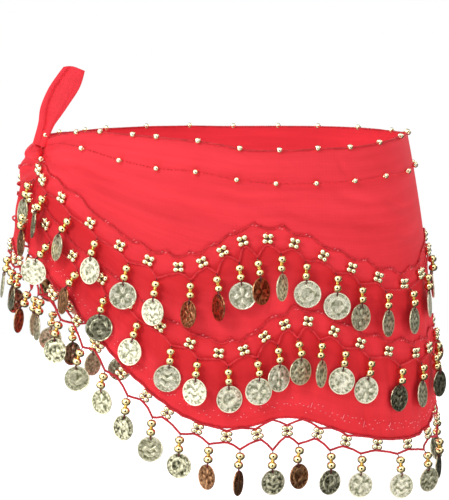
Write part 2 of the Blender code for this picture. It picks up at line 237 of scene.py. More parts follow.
# Creases seen on the front, then like ones on the back stretch
CREASES = (
    Crease(-72, -5, -60, 1, 0.8, 2.2),
    Crease(-72, -13, -66, -15, 1.0, 2.0),
    Crease(-70, -16, -50, -19, 0.9, 2.6),
    Crease(-49, -18, -31, -29, 1.1, 3.0),
    Crease(-31, -29, -17, -41, 1.0, 2.6),
    Crease(-15, -43, 2, -60, 1.0, 3.0),
    Crease(-37, -54, -26, -65, 0.9, 3.0),
    Crease(-2, -19, 17, -28, 0.7, 3.0),
    Crease(-2, -38, 12, -46, 0.7, 3.2),
    Crease(17, -54, 38, -65, 1.0, 3.2),
    Crease(38, -65, 51, -69, 0.7, 2.6),
    Crease(34, -40, 48, -49, 1.3, 5.0),
    Crease(36, -13, 40, -27, 0.6, 2.4),
    Crease(-62, -30, -47, -40, 0.9, 3.4),
    Crease(-55, -20, -42, -31, -0.7, 4.0),
    Crease(-28, -48, -12, -66, -0.8, 5.0),
    Crease(-24, -14, -6, -17, 0.5, 3.0),
    Crease(2, -66, 16, -68, 0.6, 2.6),
    Crease(56, -52, 72, -58, 0.9, 3.6),
    Crease(60, -82, 74, -80, 0.8, 3.4),
    Crease(-20, -112, -13, -132, 0.9, 3.4),
    Crease(-10, -118, 6, -139, 0.8, 3.6),
    Crease(-34, -96, -29, -112, 0.7, 3.0),
    Crease(24, -108, 29, -136, 0.9, 4.0),
    Crease(44, -124, 47, -152, 0.9, 4.2),
    Crease(12, -104, 9, -128, 0.7, 3.6),
    Crease(36, -186, 44, -222, 0.8, 5.0),
    Crease(-4, -190, 2, -222, 0.7, 5.0),
    Crease(66, -196, 62, -232, 0.8, 4.6),
    Crease(108, -22, 128, -34, 0.8, 3.4),
    Crease(120, -58, 150, -68, 1.0, 3.6),
    Crease(150, -30, 186, -46, 0.8, 3.2),
    Crease(172, -66, 198, -58, 1.0, 4.0),
    Crease(196, -30, 232, -22, 0.9, 3.2),
    Crease(216, -56, 246, -38, 1.1, 3.6),
    Crease(236, -70, 262, -44, 0.9, 3.2),
    Crease(250, -22, 276, -11, 0.9, 2.6),
    Crease(100, -120, 106, -152, 0.9, 4.0),
    Crease(134, -126, 128, -150, 0.8, 4.2),
    Crease(160, -110, 164, -138, 0.9, 4.0),
    Crease(206, -114, 212, -146, 0.8, 4.0),
    Crease(146, -148, 152, -176, 0.8, 5.0),
    Crease(190, -146, 186, -174, 0.7, 5.0),
)

PALE, OLIVE, COPPER, DARK = PatinaAndReflection.PALE, PatinaAndReflection.OLIVE, PatinaAndReflection.COPPER, PatinaAndReflection.DARK
HANGERS = {
    "row_1": (
        Hanger(-73, 0, -70.5, 8, None, 0, 10, -20, 0, PALE),
        Hanger(-67.5, 0, -64, 4.5, -25, 0, -20, -25, 0, DARK),
        Hanger(-56, 0, -50, 7, -28, 0, None, -31, 0, OLIVE),
        Hanger(-41, 0, -38, 5.5, -15, 0, -25, -17, 2, PALE),
        Hanger(-30, 0, -27, 7.5, 20, 0, 20, -11, 0, PALE),
        Hanger(-21, 0, -18.5, 10.5, -25, 0, -10, -6, 0, PALE),
        Hanger(-12.5, 0, -9, 10, -50, 0, 45, 0, -3, COPPER),
        Hanger(-6, 0, -2, 14.5, -62, 0, 55, 11, 0, COPPER),
        Hanger(-0.5, 0, 4, 14.5, -5, 5, 0, 6, 5, PALE),
        Hanger(5, 0, 9, 14, 45, 0, 40, 9, 2, COPPER),
        Hanger(12, 0, 15.5, 9, 55, 0, -45, -6, -3, OLIVE),
        Hanger(19.5, 0, 22.5, 10, -15, 0, 15, -7, 3, PALE),
        Hanger(28, 0, 31.5, 8, -20, 0, 25, -7, -3, PALE),
        Hanger(37, 0, 39.5, 10, 15, 0, -20, -3, -8, OLIVE),
        Hanger(46.5, 0, 49, 7.5, 25, 0, 5, -8, -4, OLIVE),
        Hanger(58, 0, 61.5, 3.5, 15, 0, -25, 3, -5, OLIVE),
        Hanger(70, 0, 74, 3, 12, 0, 15, 2, 0, PALE),
        Hanger(84, 0, 88, 6, 5, 0, None, 0, 0, PALE),
    ),
    "row_2": (
        Hanger(-71, 0, -67, 8, None, 0, 20, -20, 0, PALE),
        Hanger(-62, 0, -58, 6, 30, 0, -15, -33, -12, PALE),
        Hanger(-46.5, 0, -44, 5.5, -35, 0, 25, -32, -9, COPPER),
        Hanger(-35, 0, -33.5, 8.5, 25, 0, -20, -15, 0, DARK),
        Hanger(-26, 0, -23.5, 7, -15, 0, 10, -18, -12, PALE),
        Hanger(-17, 0, -14, 8.5, 10, 0, -15, -3, -9, PALE),
        Hanger(-9, 0, -7, 8.5, -25, 0, 20, -6, -4, PALE),
        Hanger(-1.5, 0, 1, 9, 20, 0, -35, 2, 2, PALE),
        Hanger(5, 0, 8.5, 11, 10, 4, 20, 10, -4, PALE),
        Hanger(10.5, 0, 14, 12.5, 28, 0, 35, 8, -5, PALE),
        Hanger(16, 0, 19.5, 12.5, 25, 0, 28, 14, -5, OLIVE),
        Hanger(22.5, 0, 26, 11, 48, 0, 30, -9, -5, OLIVE),
        Hanger(30, 0, 33, 9, -8, 0, 20, -8, -9, PALE),
        Hanger(38.5, 0, 41.5, 8, -5, 0, -10, -9, -8, PALE),
        Hanger(49, 0, 54, 9.5, 5, 0, 25, -10, -5, DARK),
        Hanger(62, 0, 66, 7.5, 10, 0, -15, 2, -5, OLIVE),
        Hanger(72, 0, 76.5, 7, -12, 4, 20, 10, 0, DARK),
        Hanger(84, 0, 90.5, 10, 10, 0, None, 0, 0, PALE),
    ),
    "row_3": (
        Hanger(-70, 6, -67, 24, -50, 0, 15, -12, 0, COPPER),
        Hanger(-62, 6, -58, 18.5, -25, 0, 40, -6, -3, OLIVE),
        Hanger(-54, 12, -50, 23.5, 15, 0, -15, -18, 4, DARK),
        Hanger(-43, 5.5, -40.5, 19, 30, 0, 20, -18, 6, OLIVE),
        Hanger(-35.5, 6.5, -33, 18, -13, 0, -25, -17, 3, OLIVE),
        Hanger(-28, 6.5, -26, 18, -20, 0, 10, -4, -6, DARK),
        Hanger(-21, 6.5, -19, 17.5, 13, 0, 20, -6, -2, OLIVE),
        Hanger(-15, 6, -11.5, 14.5, -10, 0, -25, -6, 0, DARK),
        Hanger(-7, 5, -4, 13.5, -48, 0, 35, -4, -4, COPPER),
        Hanger(0.5, 7, 4, 16.5, 65, 0, -15, -10, -2, COPPER),
        Hanger(8.5, 8, 12.5, 24, 15, 0, 25, -7, 3, DARK),
        Hanger(16.5, 11, 19.5, 20, 30, 0, 40, -12, 4, COPPER),
        Hanger(25, 9, 28.5, 18, 13, 0, -10, 0, -4, DARK),
        Hanger(33.5, 7.5, 38, 13.5, -12, 0, 20, -2, -2, PALE),
        Hanger(44.5, 5.5, 52.5, 11, -25, 0, 10, 0, -2, PALE),
        Hanger(58, 5, 67.5, 14, -20, 0, -30, 8, 10, OLIVE),
        Hanger(71, 4.5, 84, 26, -8, 0, 15, 4, 0, DARK),
        Hanger(86.5, 15, 90, 19, None, 0, None, 0, 0, OLIVE),
    ),
}
END_HANGERS = {
    "row_1": (EndHanger(-73.6, 20, -73.2, 3, 4, 0, -10, -4, OLIVE),),
    "row_2": (EndHanger(-72.5, 12, -72.8, 5, 0, 0, -20, 4, COPPER),),
    "row_3": (
        EndHanger(-60, 4, -57.5, 8, None, 0, 0, 0, PALE),
        EndHanger(-66.5, 4, -64, 4, 5, 5, 6, 0, OLIVE),
        EndHanger(-71.5, 4, -69, 8, 5, 0, 4, 0, DARK),
    ),
}
COIN_RADIUS = {"row_1": 11.6, "row_2": 11.6, "row_3": 10.8}
LINES_BELOW = {"row_1": ("row_2", "hem"), "row_2": ("hem",), "row_3": ()}

# Where a coin's hole is, as a share of its radius
HOLE_SHARE = 0.79

# Single beads along the top edge and along the stitched line below it
TOP_BEADS = (-52.5, -41.5, -29, -21, -8, 4.5, 16.5, 29, 41, 55, 71, 86)
LINE_START = (Spot(-71, -4), Spot(-60, -1.5))
LINE_BEADS = (
    Spot(-48, -4),
    Spot(-33, -13),
    Spot(-20.5, -19),
    Spot(-8.5, -21.5),
    Spot(3.5, -28),
    Spot(15, -31.5),
    Spot(27.5, -32),
    Spot(41, -31),
    Spot(55, -28.5),
    Spot(71, -26.5),
    Spot(84, -23),
)

# Beads beside the knot, with their distance from the cloth
KNOT_BEADS = {Spot(-72.6, 4.6): 2.2, Spot(-71.6, -16): 3.6}

# Upright runs of pale thread, by angle and height above the hem
HEM_STREAKS = (Spot(23, 13), Spot(32.5, 12), Spot(39.5, 11), Spot(49, 12))


def smooth(share: float) -> float:
    """Eases from 0 to 1, and stays there on either side."""
    share = min(1.0, max(0.0, share))
    return share * share * (3 - 2 * share)


def blend(start: float, end: float, slope_start: float, slope_end: float, t: float) -> float:
    """Reads a smooth curve between two values.

    Args:
        start: The value at 0.
        end: The value at 1.
        slope_start: The slope at 0.
        slope_end: The slope at 1.
        t: Where to read, from 0 to 1.

    Returns:
        The curve's value.
    """
    leaving = (1 + 2 * t) * (1 - t) ** 2 * start + t * (1 - t) ** 2 * slope_start
    arriving = t * t * (3 - 2 * t) * end - t * t * (1 - t) * slope_end
    return leaving + arriving


def read_curve(table: Sequence[Any], column: str, angle: float) -> float:
    """Reads a column of a table by angle, as a smooth curve through its rows.

    Args:
        table: Rows with an angle, in rising order.
        column: The column to read.
        angle: The angle in degrees, held within the table.

    Returns:
        The column's value at that angle.
    """
    angles = [row.angle for row in table]
    values = [getattr(row, column) for row in table]
    angle = min(angles[-1], max(angles[0], angle))
    last = len(table) - 1
    i = next(k for k in range(last) if angle <= angles[k + 1])

    def slope(k: int) -> float:
        """The slope at one row."""
        low, high = max(0, k - 1), min(last, k + 1)
        return (values[high] - values[low]) / (angles[high] - angles[low])

    step = angles[i + 1] - angles[i]
    t = (angle - angles[i]) / step
    return blend(values[i], values[i + 1], step * slope(i), step * slope(i + 1), t)


def wander(place: float, seed: float) -> float:
    """An uneven wave between about -1 and 1, the same on every run."""
    return (
        math.sin(place + 1.7 * seed)
        + 0.6 * math.sin(2.31 * place + 3.1 * seed)
        + 0.4 * math.sin(4.77 * place + 0.9 * seed)
    ) / 2


@dataclass(frozen=True)
class HipForm:
    """The hollow form that the scarf keeps, with the folds of its cloth."""

    waist_half_width: float = 161
    waist_half_depth: float = 112
    hip_half_width: float = 186
    hip_half_depth: float = 126
    hip_drop: float = 240
    width_curve: float = 1.9
    depth_curve: float = 1.6
    side: float = 90
    front_end: float = -74
    back_end: float = 284.5
    end_slant: float = 4
    slant_from: float = 253
    knot_level: float = -7
    cloth_per_degree: float = 2.55
    end_bulge: float = 14.5
    bulge_angle: float = 267
    bulge_reach: float = 13
    bulge_top: float = 5
    bulge_rise: float = 22
    low_bulge: float = 0.3
    low_from: float = -60
    low_blend: float = 30
    fold_start_blend: float = 40
    fold_end_blend: float = 60
    gather_depth: float = 1.8
    gather_wave: float = 32
    gather_reach: float = 60
    knot_calm: float = 18
    pucker_depth: float = 0.5
    pucker_reach: float = 7
    puckers_per_degree: float = 0.74
    hang_depth: float = 1.3
    hang_start: float = 12
    hang_blend: float = 60
    hang_lean: float = 0.05
    crease_share: float = 1.6
    crease_bow: float = 0.06
    thread_gap: float = 1.5
    thread_gap_on_bulge: float = 0.9
    hang_wave: float = 12.5

    @property
    def back_stretch(self) -> float:
        """Degrees on the back stretch for each degree of the front."""
        return (self.back_end - self.side) / (self.side - self.front_end)

    def station_angle(self, angle: float) -> float:
        """The angle on the front with the levels of this angle, on either stretch."""
        if angle <= self.side:
            return angle
        return self.side - (angle - self.side) / self.back_stretch

    def back_angle(self, angle: float) -> float:
        """The angle on the back stretch with the levels of this angle of the front."""
        return self.side + (self.side - angle) * self.back_stretch

    @cache
    def level(self, column: str, angle: float) -> float:
        """The height of the top edge, a row or the hem at this angle."""
        return read_curve(STATIONS if angle <= self.side else BACK_STATIONS, column, angle)

    def half_sizes(self, z: float) -> tuple[float, float]:
        """Half width and half depth at this height."""
        rest = min(1.2, max(0.0, 1 + z / self.hip_drop))
        wider = self.hip_half_width - self.waist_half_width
        deeper = self.hip_half_depth - self.waist_half_depth
        width = self.waist_half_width + wider * (1 - rest**self.width_curve)
        depth = self.waist_half_depth + deeper * (1 - rest**self.depth_curve)
        return width, depth

    def outward(self, angle: float, z: float) -> Vector:
        """The level direction that points away from the hip form."""
        width, depth = self.half_sizes(z)
        turn = math.radians(angle)
        return Vector((math.sin(turn) / width, -math.cos(turn) / depth, 0)).normalized()

    def large_folds(self, angle: float, z: float) -> float:
        """The folds that the solids have too."""
        along = (self.station_angle(angle) - self.front_end) * self.cloth_per_degree
        down = self.knot_level - z
        reach = math.hypot(along, down)
        bearing = math.degrees(math.atan2(down, along))
        wave = math.cos(math.radians(bearing * 360 / self.gather_wave))
        moved = self.gather_depth * wave * math.exp(-reach / self.gather_reach)
        beside = (angle - self.bulge_angle) / self.bulge_reach
        bulge = self.end_bulge * (1 - self.low_bulge * smooth((self.low_from - z) / self.low_blend))
        moved += bulge * smooth((self.bulge_top - z) / self.bulge_rise) * math.exp(-(beside**2))
        moved *= smooth((reach - self.knot_calm) / self.knot_calm)
        for fold in FOLDS:
            aside = reach * math.sin(math.radians(bearing - fold.bearing))
            window = smooth((reach - fold.start) / self.fold_start_blend)
            window *= smooth((fold.end - reach) / self.fold_end_blend)
            moved -= fold.depth * window * math.exp(-((aside / fold.half_width) ** 2))
        return moved

    def small_folds(self, angle: float, z: float) -> float:
        """Creases, the puckers along the sewn rows and the soft waves of the hanging cloth."""
        moved = 0.0
        for crease in CREASES:
            moved -= self.crease_share * self.crease_depth(crease, angle, z)
        for column, seed in (("row_1", 1), ("row_2", 2), ("hem", 3)):
            off = (z - self.level(column, angle)) / self.pucker_reach
            if abs(off) < 3:
                place = angle * (self.puckers_per_degree + 0.03 * seed)
                moved += self.pucker_depth * wander(place, seed) * math.exp(-(off**2))
        below = smooth((self.level("row_1", angle) - self.hang_start - z) / self.hang_blend)
        place = (angle + self.hang_lean * z) * 360 / self.hang_wave
        return moved + self.hang_depth * below * wander(math.radians(place), 5)

    def crease_depth(self, crease: Crease, angle: float, z: float) -> float:
        """How deep one crease is at a place."""
        per_degree = self.cloth_per_degree
        run = (crease.to_angle - crease.angle) * per_degree
        rise = crease.to_level - crease.level
        along = (angle - crease.angle) * per_degree
        up = z - crease.level
        length = math.hypot(run, rise)
        share = (along * run + up * rise) / length**2
        if not -0.4 < share < 1.4:
            return 0.0
        bow = self.crease_bow * length * math.sin(math.pi * share)
        aside = (up * run - along * rise) / length + bow
        if abs(aside) > 3 * crease.half_width:
            return 0.0
        window = smooth((share + 0.2) / 0.5) * smooth((1.2 - share) / 0.5)
        return crease.depth * window * math.exp(-((aside / crease.half_width) ** 2))

    @cache
    def relief(self, angle: float, z: float) -> float:
        """How far the cloth stands out from the hip form."""
        return self.large_folds(angle, z) + self.small_folds(angle, z)

    def on_cloth(self, angle: float, z: float, offset: float) -> Vector:
        """A point off the cloth's outer face."""
        width, depth = self.half_sizes(z)
        turn = math.radians(angle)
        point = Vector((width * math.sin(turn), -depth * math.cos(turn), z))
        return point + self.outward(angle, z) * (offset + self.relief(angle, z))

    def length_per_degree(self, angle: float, z: float) -> float:
        """Length along the hip form for each degree."""
        width, depth = self.half_sizes(z)
        turn = math.radians(angle)
        return math.radians(1) * math.hypot(width * math.cos(turn), depth * math.sin(turn))

    def thread_offset(self, angle: float) -> float:
        """How far a thread's middle lies off the cloth."""
        beside = (angle - self.bulge_angle) / self.bulge_reach
        return self.thread_gap + self.thread_gap_on_bulge * math.exp(-(beside**2))


HIP = HipForm()


class Wire:
    """A shader value. Arithmetic on it adds Math nodes."""

    def __init__(self, tree: bpy.types.NodeTree, socket: bpy.types.NodeSocket) -> None:
        """Keeps the node tree and the output socket."""
        self.tree = tree
        self.socket = socket

    def math(self, operation: str, first: Any, second: Any) -> "Wire":
        """Adds a Math node.

        Args:
            operation: The node's operation.
            first: A number or a Wire.
            second: A number or a Wire.

        Returns:
            The node's result.
        """
        node = self.tree.nodes.new("ShaderNodeMath")
        node.operation = operation
        for slot, value in zip(node.inputs, (first, second)):
            if isinstance(value, Wire):
                self.tree.links.new(value.socket, slot)
            else:
                slot.default_value = value
        return Wire(self.tree, node.outputs[0])

    def __add__(self, other: Any) -> "Wire":
        """Sum."""
        return self.math("ADD", self, other)

    def __radd__(self, other: Any) -> "Wire":
        """Sum with a number on the left."""
        return self.math("ADD", other, self)

    def __sub__(self, other: Any) -> "Wire":
        """Difference."""
        return self.math("SUBTRACT", self, other)

    def __rsub__(self, other: Any) -> "Wire":
        """Difference from a number."""
        return self.math("SUBTRACT", other, self)

    def __mul__(self, other: Any) -> "Wire":
        """Product."""
        return self.math("MULTIPLY", self, other)

    def __rmul__(self, other: Any) -> "Wire":
        """Product with a number on the left."""
        return self.math("MULTIPLY", other, self)

    def limited(self) -> "Wire":
        """The value held between 0 and 1."""
        held = self.math("MAXIMUM", self, 0.0)
        return self.math("MINIMUM", held, 1.0)


class Shader:
    """A material with one Principled shader, built by calls."""

    def __init__(self, name: str) -> None:
        """Makes the material and its shader.

        Args:
            name: The material's name.
        """
        self.material = bpy.data.materials.new(name)
        self.material.use_nodes = True
        self.tree = self.material.node_tree
        self.principled = self.tree.nodes["Principled BSDF"]

    def node(
        self, kind: str, settings: dict[str, Any], values: dict[Any, Any], output: int | str = 0
    ) -> Wire:
        """Adds any node: its settings first, then its values and links.

        Args:
            kind: The node's type.
            settings: Attributes of the node. stops sets a ramp's positions and colours.
            values: Numbers, vectors or Wires by socket name or number.
            output: The output to read.

        Returns:
            The output as a Wire.
        """
        node = self.tree.nodes.new(kind)
        for name, value in settings.items():
            if name == "stops":
                self.set_stops(node.color_ramp, value)
            else:
                setattr(node, name, value)
        for name, value in values.items():
            self.put(node.inputs[name], value)
        return Wire(self.tree, node.outputs[output])

    def set_stops(self, ramp: bpy.types.ColorRamp, stops: Sequence[tuple[float, Colour]]) -> None:
        """Gives a ramp its stops."""
        while len(ramp.elements) < len(stops):
            ramp.elements.new(1.0)
        for element, (position, colour) in zip(ramp.elements, stops):
            element.position = position
            element.color = colour

    def put(self, socket: bpy.types.NodeSocket, value: Any) -> None:
        """Sets a socket, or links a Wire to it."""
        if isinstance(value, Wire):
            self.tree.links.new(value.socket, socket)
        else:
            socket.default_value = value

    def set(self, values: dict[str, Any]) -> None:
        """Sets or links sockets of the Principled shader."""
        for name, value in values.items():
            self.put(self.principled.inputs[name], value)

    def place(self) -> Wire:
        """Object coordinates, in metres."""
        return self.node("ShaderNodeTexCoord", {}, {}, "Object")

    def noise(self, vector: Wire, scale: float, detail: float = 2.0) -> Wire:
        """A noise value around 0.5."""
        values = {"Vector": vector, "Scale": scale, "Detail": detail}
        return self.node("ShaderNodeTexNoise", {}, values, 0)

    def mix(self, factor: Any, first: Any, second: Any) -> Wire:
        """Mixes two colours."""
        values = {0: factor, 6: first, 7: second}
        return self.node("ShaderNodeMix", {"data_type": "RGBA"}, values, 2)

    def bump(self, height: Wire, strength: float, distance: float) -> Wire:
        """Turns a height into a normal."""
        values = {"Height": height, "Strength": strength, "Distance": distance}
        return self.node("ShaderNodeBump", {}, values)


@dataclass(frozen=True)
class ClothFinish:
    """Thin woven cloth: a fine plain weave with uneven threads and a soft sheen. Its colour also carries
    painted light and shade: lighter towards the top, darker in soft streaks and under the rows, and a faint
    painted glow where one is set.
    """

    name: str
    light: Colour
    deep: Colour
    sheen: float = 0.04
    glow: float = 0.0
    threads_per_metre: float = 1100
    painted_light_top_level: float = 0.0
    painted_shade_bottom_level: float = -0.21

    def build(self) -> bpy.types.Material:
        """Makes the material."""
        shader = Shader(self.name)
        sheet = shader.node("ShaderNodeUVMap", {"uv_map": "cut"}, {})
        place = shader.place()
        clouds = shader.noise(place, 16, 3)
        slubs = shader.noise(self.stretched(shader, sheet, (60, 1400, 1)), 1, 1)
        # Painted light and shade: the cloth is mixed lighter towards the top and darker towards the hem, as
        # where more and less light reaches it
        level = shader.node("ShaderNodeSeparateXYZ", {}, {"Vector": place}, "Z")
        height = (level - self.painted_shade_bottom_level) * (1 / (self.painted_light_top_level - self.painted_shade_bottom_level))
        # Painted shade: soft streaks stretched along the cloth stand in for the shading of shallow creases
        painted_crease_shade = shader.noise(self.stretched(shader, sheet, (9, 95, 1)), 1, 3)
        shade = shader.node("ShaderNodeAttribute", {"attribute_name": "shade"}, {}, "Fac")
        tone = height * 0.55 + clouds * 0.5 + painted_crease_shade * 0.9 + slubs * 0.25
        tone = (tone - shade * 0.55 - 0.52).limited()
        crumple = shader.noise(place, 70, 2)
        weave = self.ribs(shader, sheet, "X") * self.ribs(shader, sheet, "Y")
        surface = weave * 0.25 + crumple * 1.2 + slubs * 0.3
        colour = shader.mix(tone, self.deep, self.light)
        shader.set(
            {
                "Base Color": colour,
                "Roughness": slubs * 0.12 + 0.62,
                "Sheen Weight": self.sheen,
                "Sheen Roughness": 0.4,
                "Sheen Tint": (1.0, 0.55, 0.6, 1),
                "Specular IOR Level": 0.25,
                "Normal": shader.bump(surface, 0.4, 0.0005),
            }
        )
        # Painted light: a faint glow in the cloth's own colour stands in for light shining through the thin
        # cloth
        if self.glow:
            shader.set({"Emission Color": colour, "Emission Strength": self.glow})
        return shader.material

    def stretched(self, shader: Shader, vector: Wire, scale: tuple[float, float, float]) -> Wire:
        """Scales a pattern differently along and across the cloth."""
        return shader.node("ShaderNodeMapping", {}, {"Vector": vector, "Scale": scale})

    def ribs(self, shader: Shader, vector: Wire, direction: str) -> Wire:
        """One set of threads."""
        settings = {"wave_type": "BANDS", "bands_direction": direction}
        values = {"Vector": vector, "Scale": self.threads_per_metre / 10, "Distortion": 0.6, "Detail": 1.0}
        return shader.node("ShaderNodeTexWave", settings, values, 1)


@dataclass(frozen=True)
class ThreadFinish:
    """Mercerised cotton thread, with finer fibres that catch light."""

    name: str
    light: Colour
    deep: Colour
    roughness: float = 0.45

    def build(self) -> bpy.types.Material:
        """Makes the material."""
        shader = Shader(self.name)
        place = shader.place()
        patches = shader.noise(place, 240, 2)
        fibres = shader.noise(place, 2600, 2)
        tone = (patches * 2.0 + fibres * 0.5 - 0.8).limited()
        shader.set(
            {
                "Base Color": shader.mix(tone, self.deep, self.light),
                "Roughness": fibres * 0.2 + self.roughness,
                "Sheen Weight": 0.15,
                "Sheen Tint": (1.0, 0.6, 0.65, 1),
                "Normal": shader.bump(fibres, 0.5, 0.0003),
            }
        )
        return shader.material


@dataclass(frozen=True)
class MetalFinish:
    """Plated metal, polished where it stands up and rougher in its hollows. A hollow colour, where given,
    darkens the hollows: tarnish together with painted shade.
    """

    name: str
    bright: Colour
    worn: Colour
    roughness: float
    hollow: Colour | None = None
    dents: float = 0.05
    metallic: float = 1.0

    def build(self) -> bpy.types.Material:
        """Makes the material."""
        shader = Shader(self.name)
        place = shader.place()
        patches = shader.noise(place, 330, 3)
        scratches = shader.noise(place, 1300, 3)
        blotch = (patches * 2.6 - 0.85).limited()
        colour = shader.mix(blotch, self.worn, self.bright)
        roughness = scratches * 0.12 + self.roughness
        # Tarnish with painted shade: the hollows of the relief, read from the raised attribute, darken
        # towards the hollow colour
        if self.hollow:
            raised = shader.node("ShaderNodeAttribute", {"attribute_name": "raised"}, {}, "Fac")
            polish_and_painted_light = (raised * 1.3 + patches * 2.8 - 1.05).limited()
            colour = shader.mix(polish_and_painted_light, self.hollow, colour)
            roughness = roughness + (1 - polish_and_painted_light) * 0.2
        shader.set(
            {
                "Base Color": colour,
                "Metallic": self.metallic,
                "Roughness": roughness,
                "Normal": shader.bump(patches + scratches * 0.2, self.dents, 0.0006),
            }
        )
        return shader.material


@dataclass(frozen=True)
class FloorFinish:
    """A pale matt floor."""

    name: str = "studio_floor"
    colour: Colour = (0.93, 0.93, 0.93, 1)
    glow: float = 0.8

    def build(self) -> bpy.types.Material:
        """Makes the material."""
        shader = Shader(self.name)
        grain = shader.noise(shader.place(), 40, 2)
        shader.set(
            {
                "Base Color": shader.mix(grain, self.colour, (0.95, 0.95, 0.95, 1)),
                "Roughness": 0.9,
                "Emission Color": (1, 1, 1, 1),
                "Emission Strength": self.glow,
            }
        )
        return shader.material


CLOTHS = {
    "outer": ClothFinish("chiffon_outer", (0.94, 0.044, 0.064, 1), (0.70, 0.018, 0.026, 1)),
    # The inner side is a darker copy of the outer cloth, as painted shade, with a faint painted glow for
    # light through the cloth
    "inner": ClothFinish("chiffon_inner", (0.88, 0.040, 0.062, 1), (0.60, 0.016, 0.024, 1), 0.03, 0.04),
}
THREADS = {
    "cord": ThreadFinish("thread_cord", (0.90, 0.028, 0.044, 1), (0.58, 0.006, 0.014, 1)),
    "net": ThreadFinish("thread_net", (0.72, 0.011, 0.028, 1), (0.40, 0.003, 0.011, 1)),
    "crochet": ThreadFinish("thread_crochet", (0.92, 0.026, 0.044, 1), (0.60, 0.006, 0.014, 1)),
    "edging": ThreadFinish("thread_edging", (0.86, 0.022, 0.038, 1), (0.52, 0.005, 0.012, 1)),
    "loop": ThreadFinish("thread_loop", (0.16, 0.004, 0.006, 1), (0.05, 0.001, 0.002, 1)),
    # Pale pink thread for the marks above the hem, also used for the painted highlights on the crochet lines
    "mark": ThreadFinish("thread_pink", (0.98, 0.34, 0.38, 1), (0.93, 0.17, 0.21, 1)),
}
BEADS = {
    "bead": MetalFinish("bead_gold", (0.93, 0.80, 0.46, 1), (0.82, 0.66, 0.30, 1), 0.05),
    "small": MetalFinish("bead_cream", (1.0, 0.95, 0.68, 1), (0.97, 0.88, 0.52, 1), 0.18),
    "seed": MetalFinish("seed_gold", (0.94, 0.70, 0.20, 1), (0.80, 0.52, 0.12, 1), 0.10),
}
# Coin tones: aged plating with painted reflections, the coppery tone standing for the red cloth mirrored in a
# coin and the olive and dark tones for dark surroundings
COINS = {
    PatinaAndReflection.PALE: MetalFinish(
        "coin_pale",
        (0.99, 0.96, 0.78, 1),
        (0.90, 0.86, 0.60, 1),
        roughness=0.20,
        hollow=(0.20, 0.21, 0.12, 1),
        dents=1.0,
        metallic=0.5,
    ),
    PatinaAndReflection.OLIVE: MetalFinish(
        "coin_olive",
        (0.94, 0.91, 0.66, 1),
        (0.68, 0.66, 0.42, 1),
        roughness=0.27,
        hollow=(0.14, 0.14, 0.07, 1),
        dents=1.0,
        metallic=0.75,
    ),
    PatinaAndReflection.COPPER: MetalFinish(
        "coin_copper",
        (0.78, 0.44, 0.22, 1),
        (0.42, 0.17, 0.07, 1),
        roughness=0.26,
        hollow=(0.09, 0.03, 0.012, 1),
        dents=1.0,
    ),
    PatinaAndReflection.DARK: MetalFinish(
        "coin_dark",
        (0.94, 0.90, 0.64, 1),
        (0.32, 0.31, 0.18, 1),
        roughness=0.24,
        hollow=(0.04, 0.04, 0.02, 1),
        dents=1.0,
    ),
}


class Finishes:
    """Every material of the scarf, made once."""

    def __init__(self) -> None:
        """Makes the materials."""
        self.cloths = {name: finish.build() for name, finish in CLOTHS.items()}
        self.threads = {name: finish.build() for name, finish in THREADS.items()}
        self.beads = {name: finish.build() for name, finish in BEADS.items()}
        self.coins = [COINS[patina_and_reflection].build() for patina_and_reflection in PatinaAndReflection]

    def cloth_sides(self) -> tuple[bpy.types.Material, bpy.types.Material]:
        """The materials of a cloth's outer and inner side."""
        return self.cloths["outer"], self.cloths["inner"]


def make_piece(
    name: str,
    source: bmesh.types.BMesh | bpy.types.Mesh,
    materials: Sequence[bpy.types.Material],
    replaced: Sequence[str] = (),
    sharp: float | None = None,
) -> bpy.types.Object:
    """Turns a bmesh or a mesh in millimetres into a dressed piece that rides on the part.

    Args:
        name: The piece's name.
        source: The shape. A bmesh is freed.
        materials: Its materials, in the order of the faces' indices.
        replaced: CAD nodes that it stands for.
        sharp: Edges above this angle in degrees stay sharp, or None.

    Returns:
        The object, at the origin.
    """
    if isinstance(source, bpy.types.Mesh):
        mesh = source
        mesh.name = name
    else:
        mesh = bpy.data.meshes.new(name)
        source.to_mesh(mesh)
        source.free()
    mesh.transform(Matrix.Scale(MM, 4))
    for material in materials:
        mesh.materials.append(material)
    mesh.shade_smooth()
    if sharp is not None:
        mesh.set_sharp_from_angle(angle=math.radians(sharp))
    piece = bpy.data.objects.new(name, mesh)
    bpy.context.scene.collection.objects.link(piece)
    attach(piece, "root")
    if replaced:
        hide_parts(*replaced)
    log.info("%s: %d faces", name, len(mesh.polygons))
    return piece


def unit_grid(columns: int, rows: int, along_x: float, along_y: float) -> bmesh.types.BMesh:
    """Makes a flat grid from -0.5 to 0.5, with its place on the cut sheet.

    Args:
        columns: Faces along X.
        rows: Faces along Y.
        along_x: The sheet's size along X, in metres.
        along_y: The sheet's size along Y, in metres.

    Returns:
        The grid.
    """
    bm = bmesh.new()
    cut = bm.loops.layers.uv.new("cut")
    bmesh.ops.create_grid(bm, x_segments=columns, y_segments=rows, size=0.5)
    for face in bm.faces:
        for loop in face.loops:
            place = loop.vert.co
            loop[cut].uv = ((place.x + 0.5) * along_x, (place.y + 0.5) * along_y)
    return bm


def thicken(piece: bpy.types.Object, thickness: float, offset: float) -> None:
    """Gives a sheet its thickness, with its second material inside."""
    wall = piece.modifiers.new("Thickness", "SOLIDIFY")
    wall.thickness = thickness * MM
    wall.offset = offset
    wall.use_even_offset = False
    wall.material_offset = 1


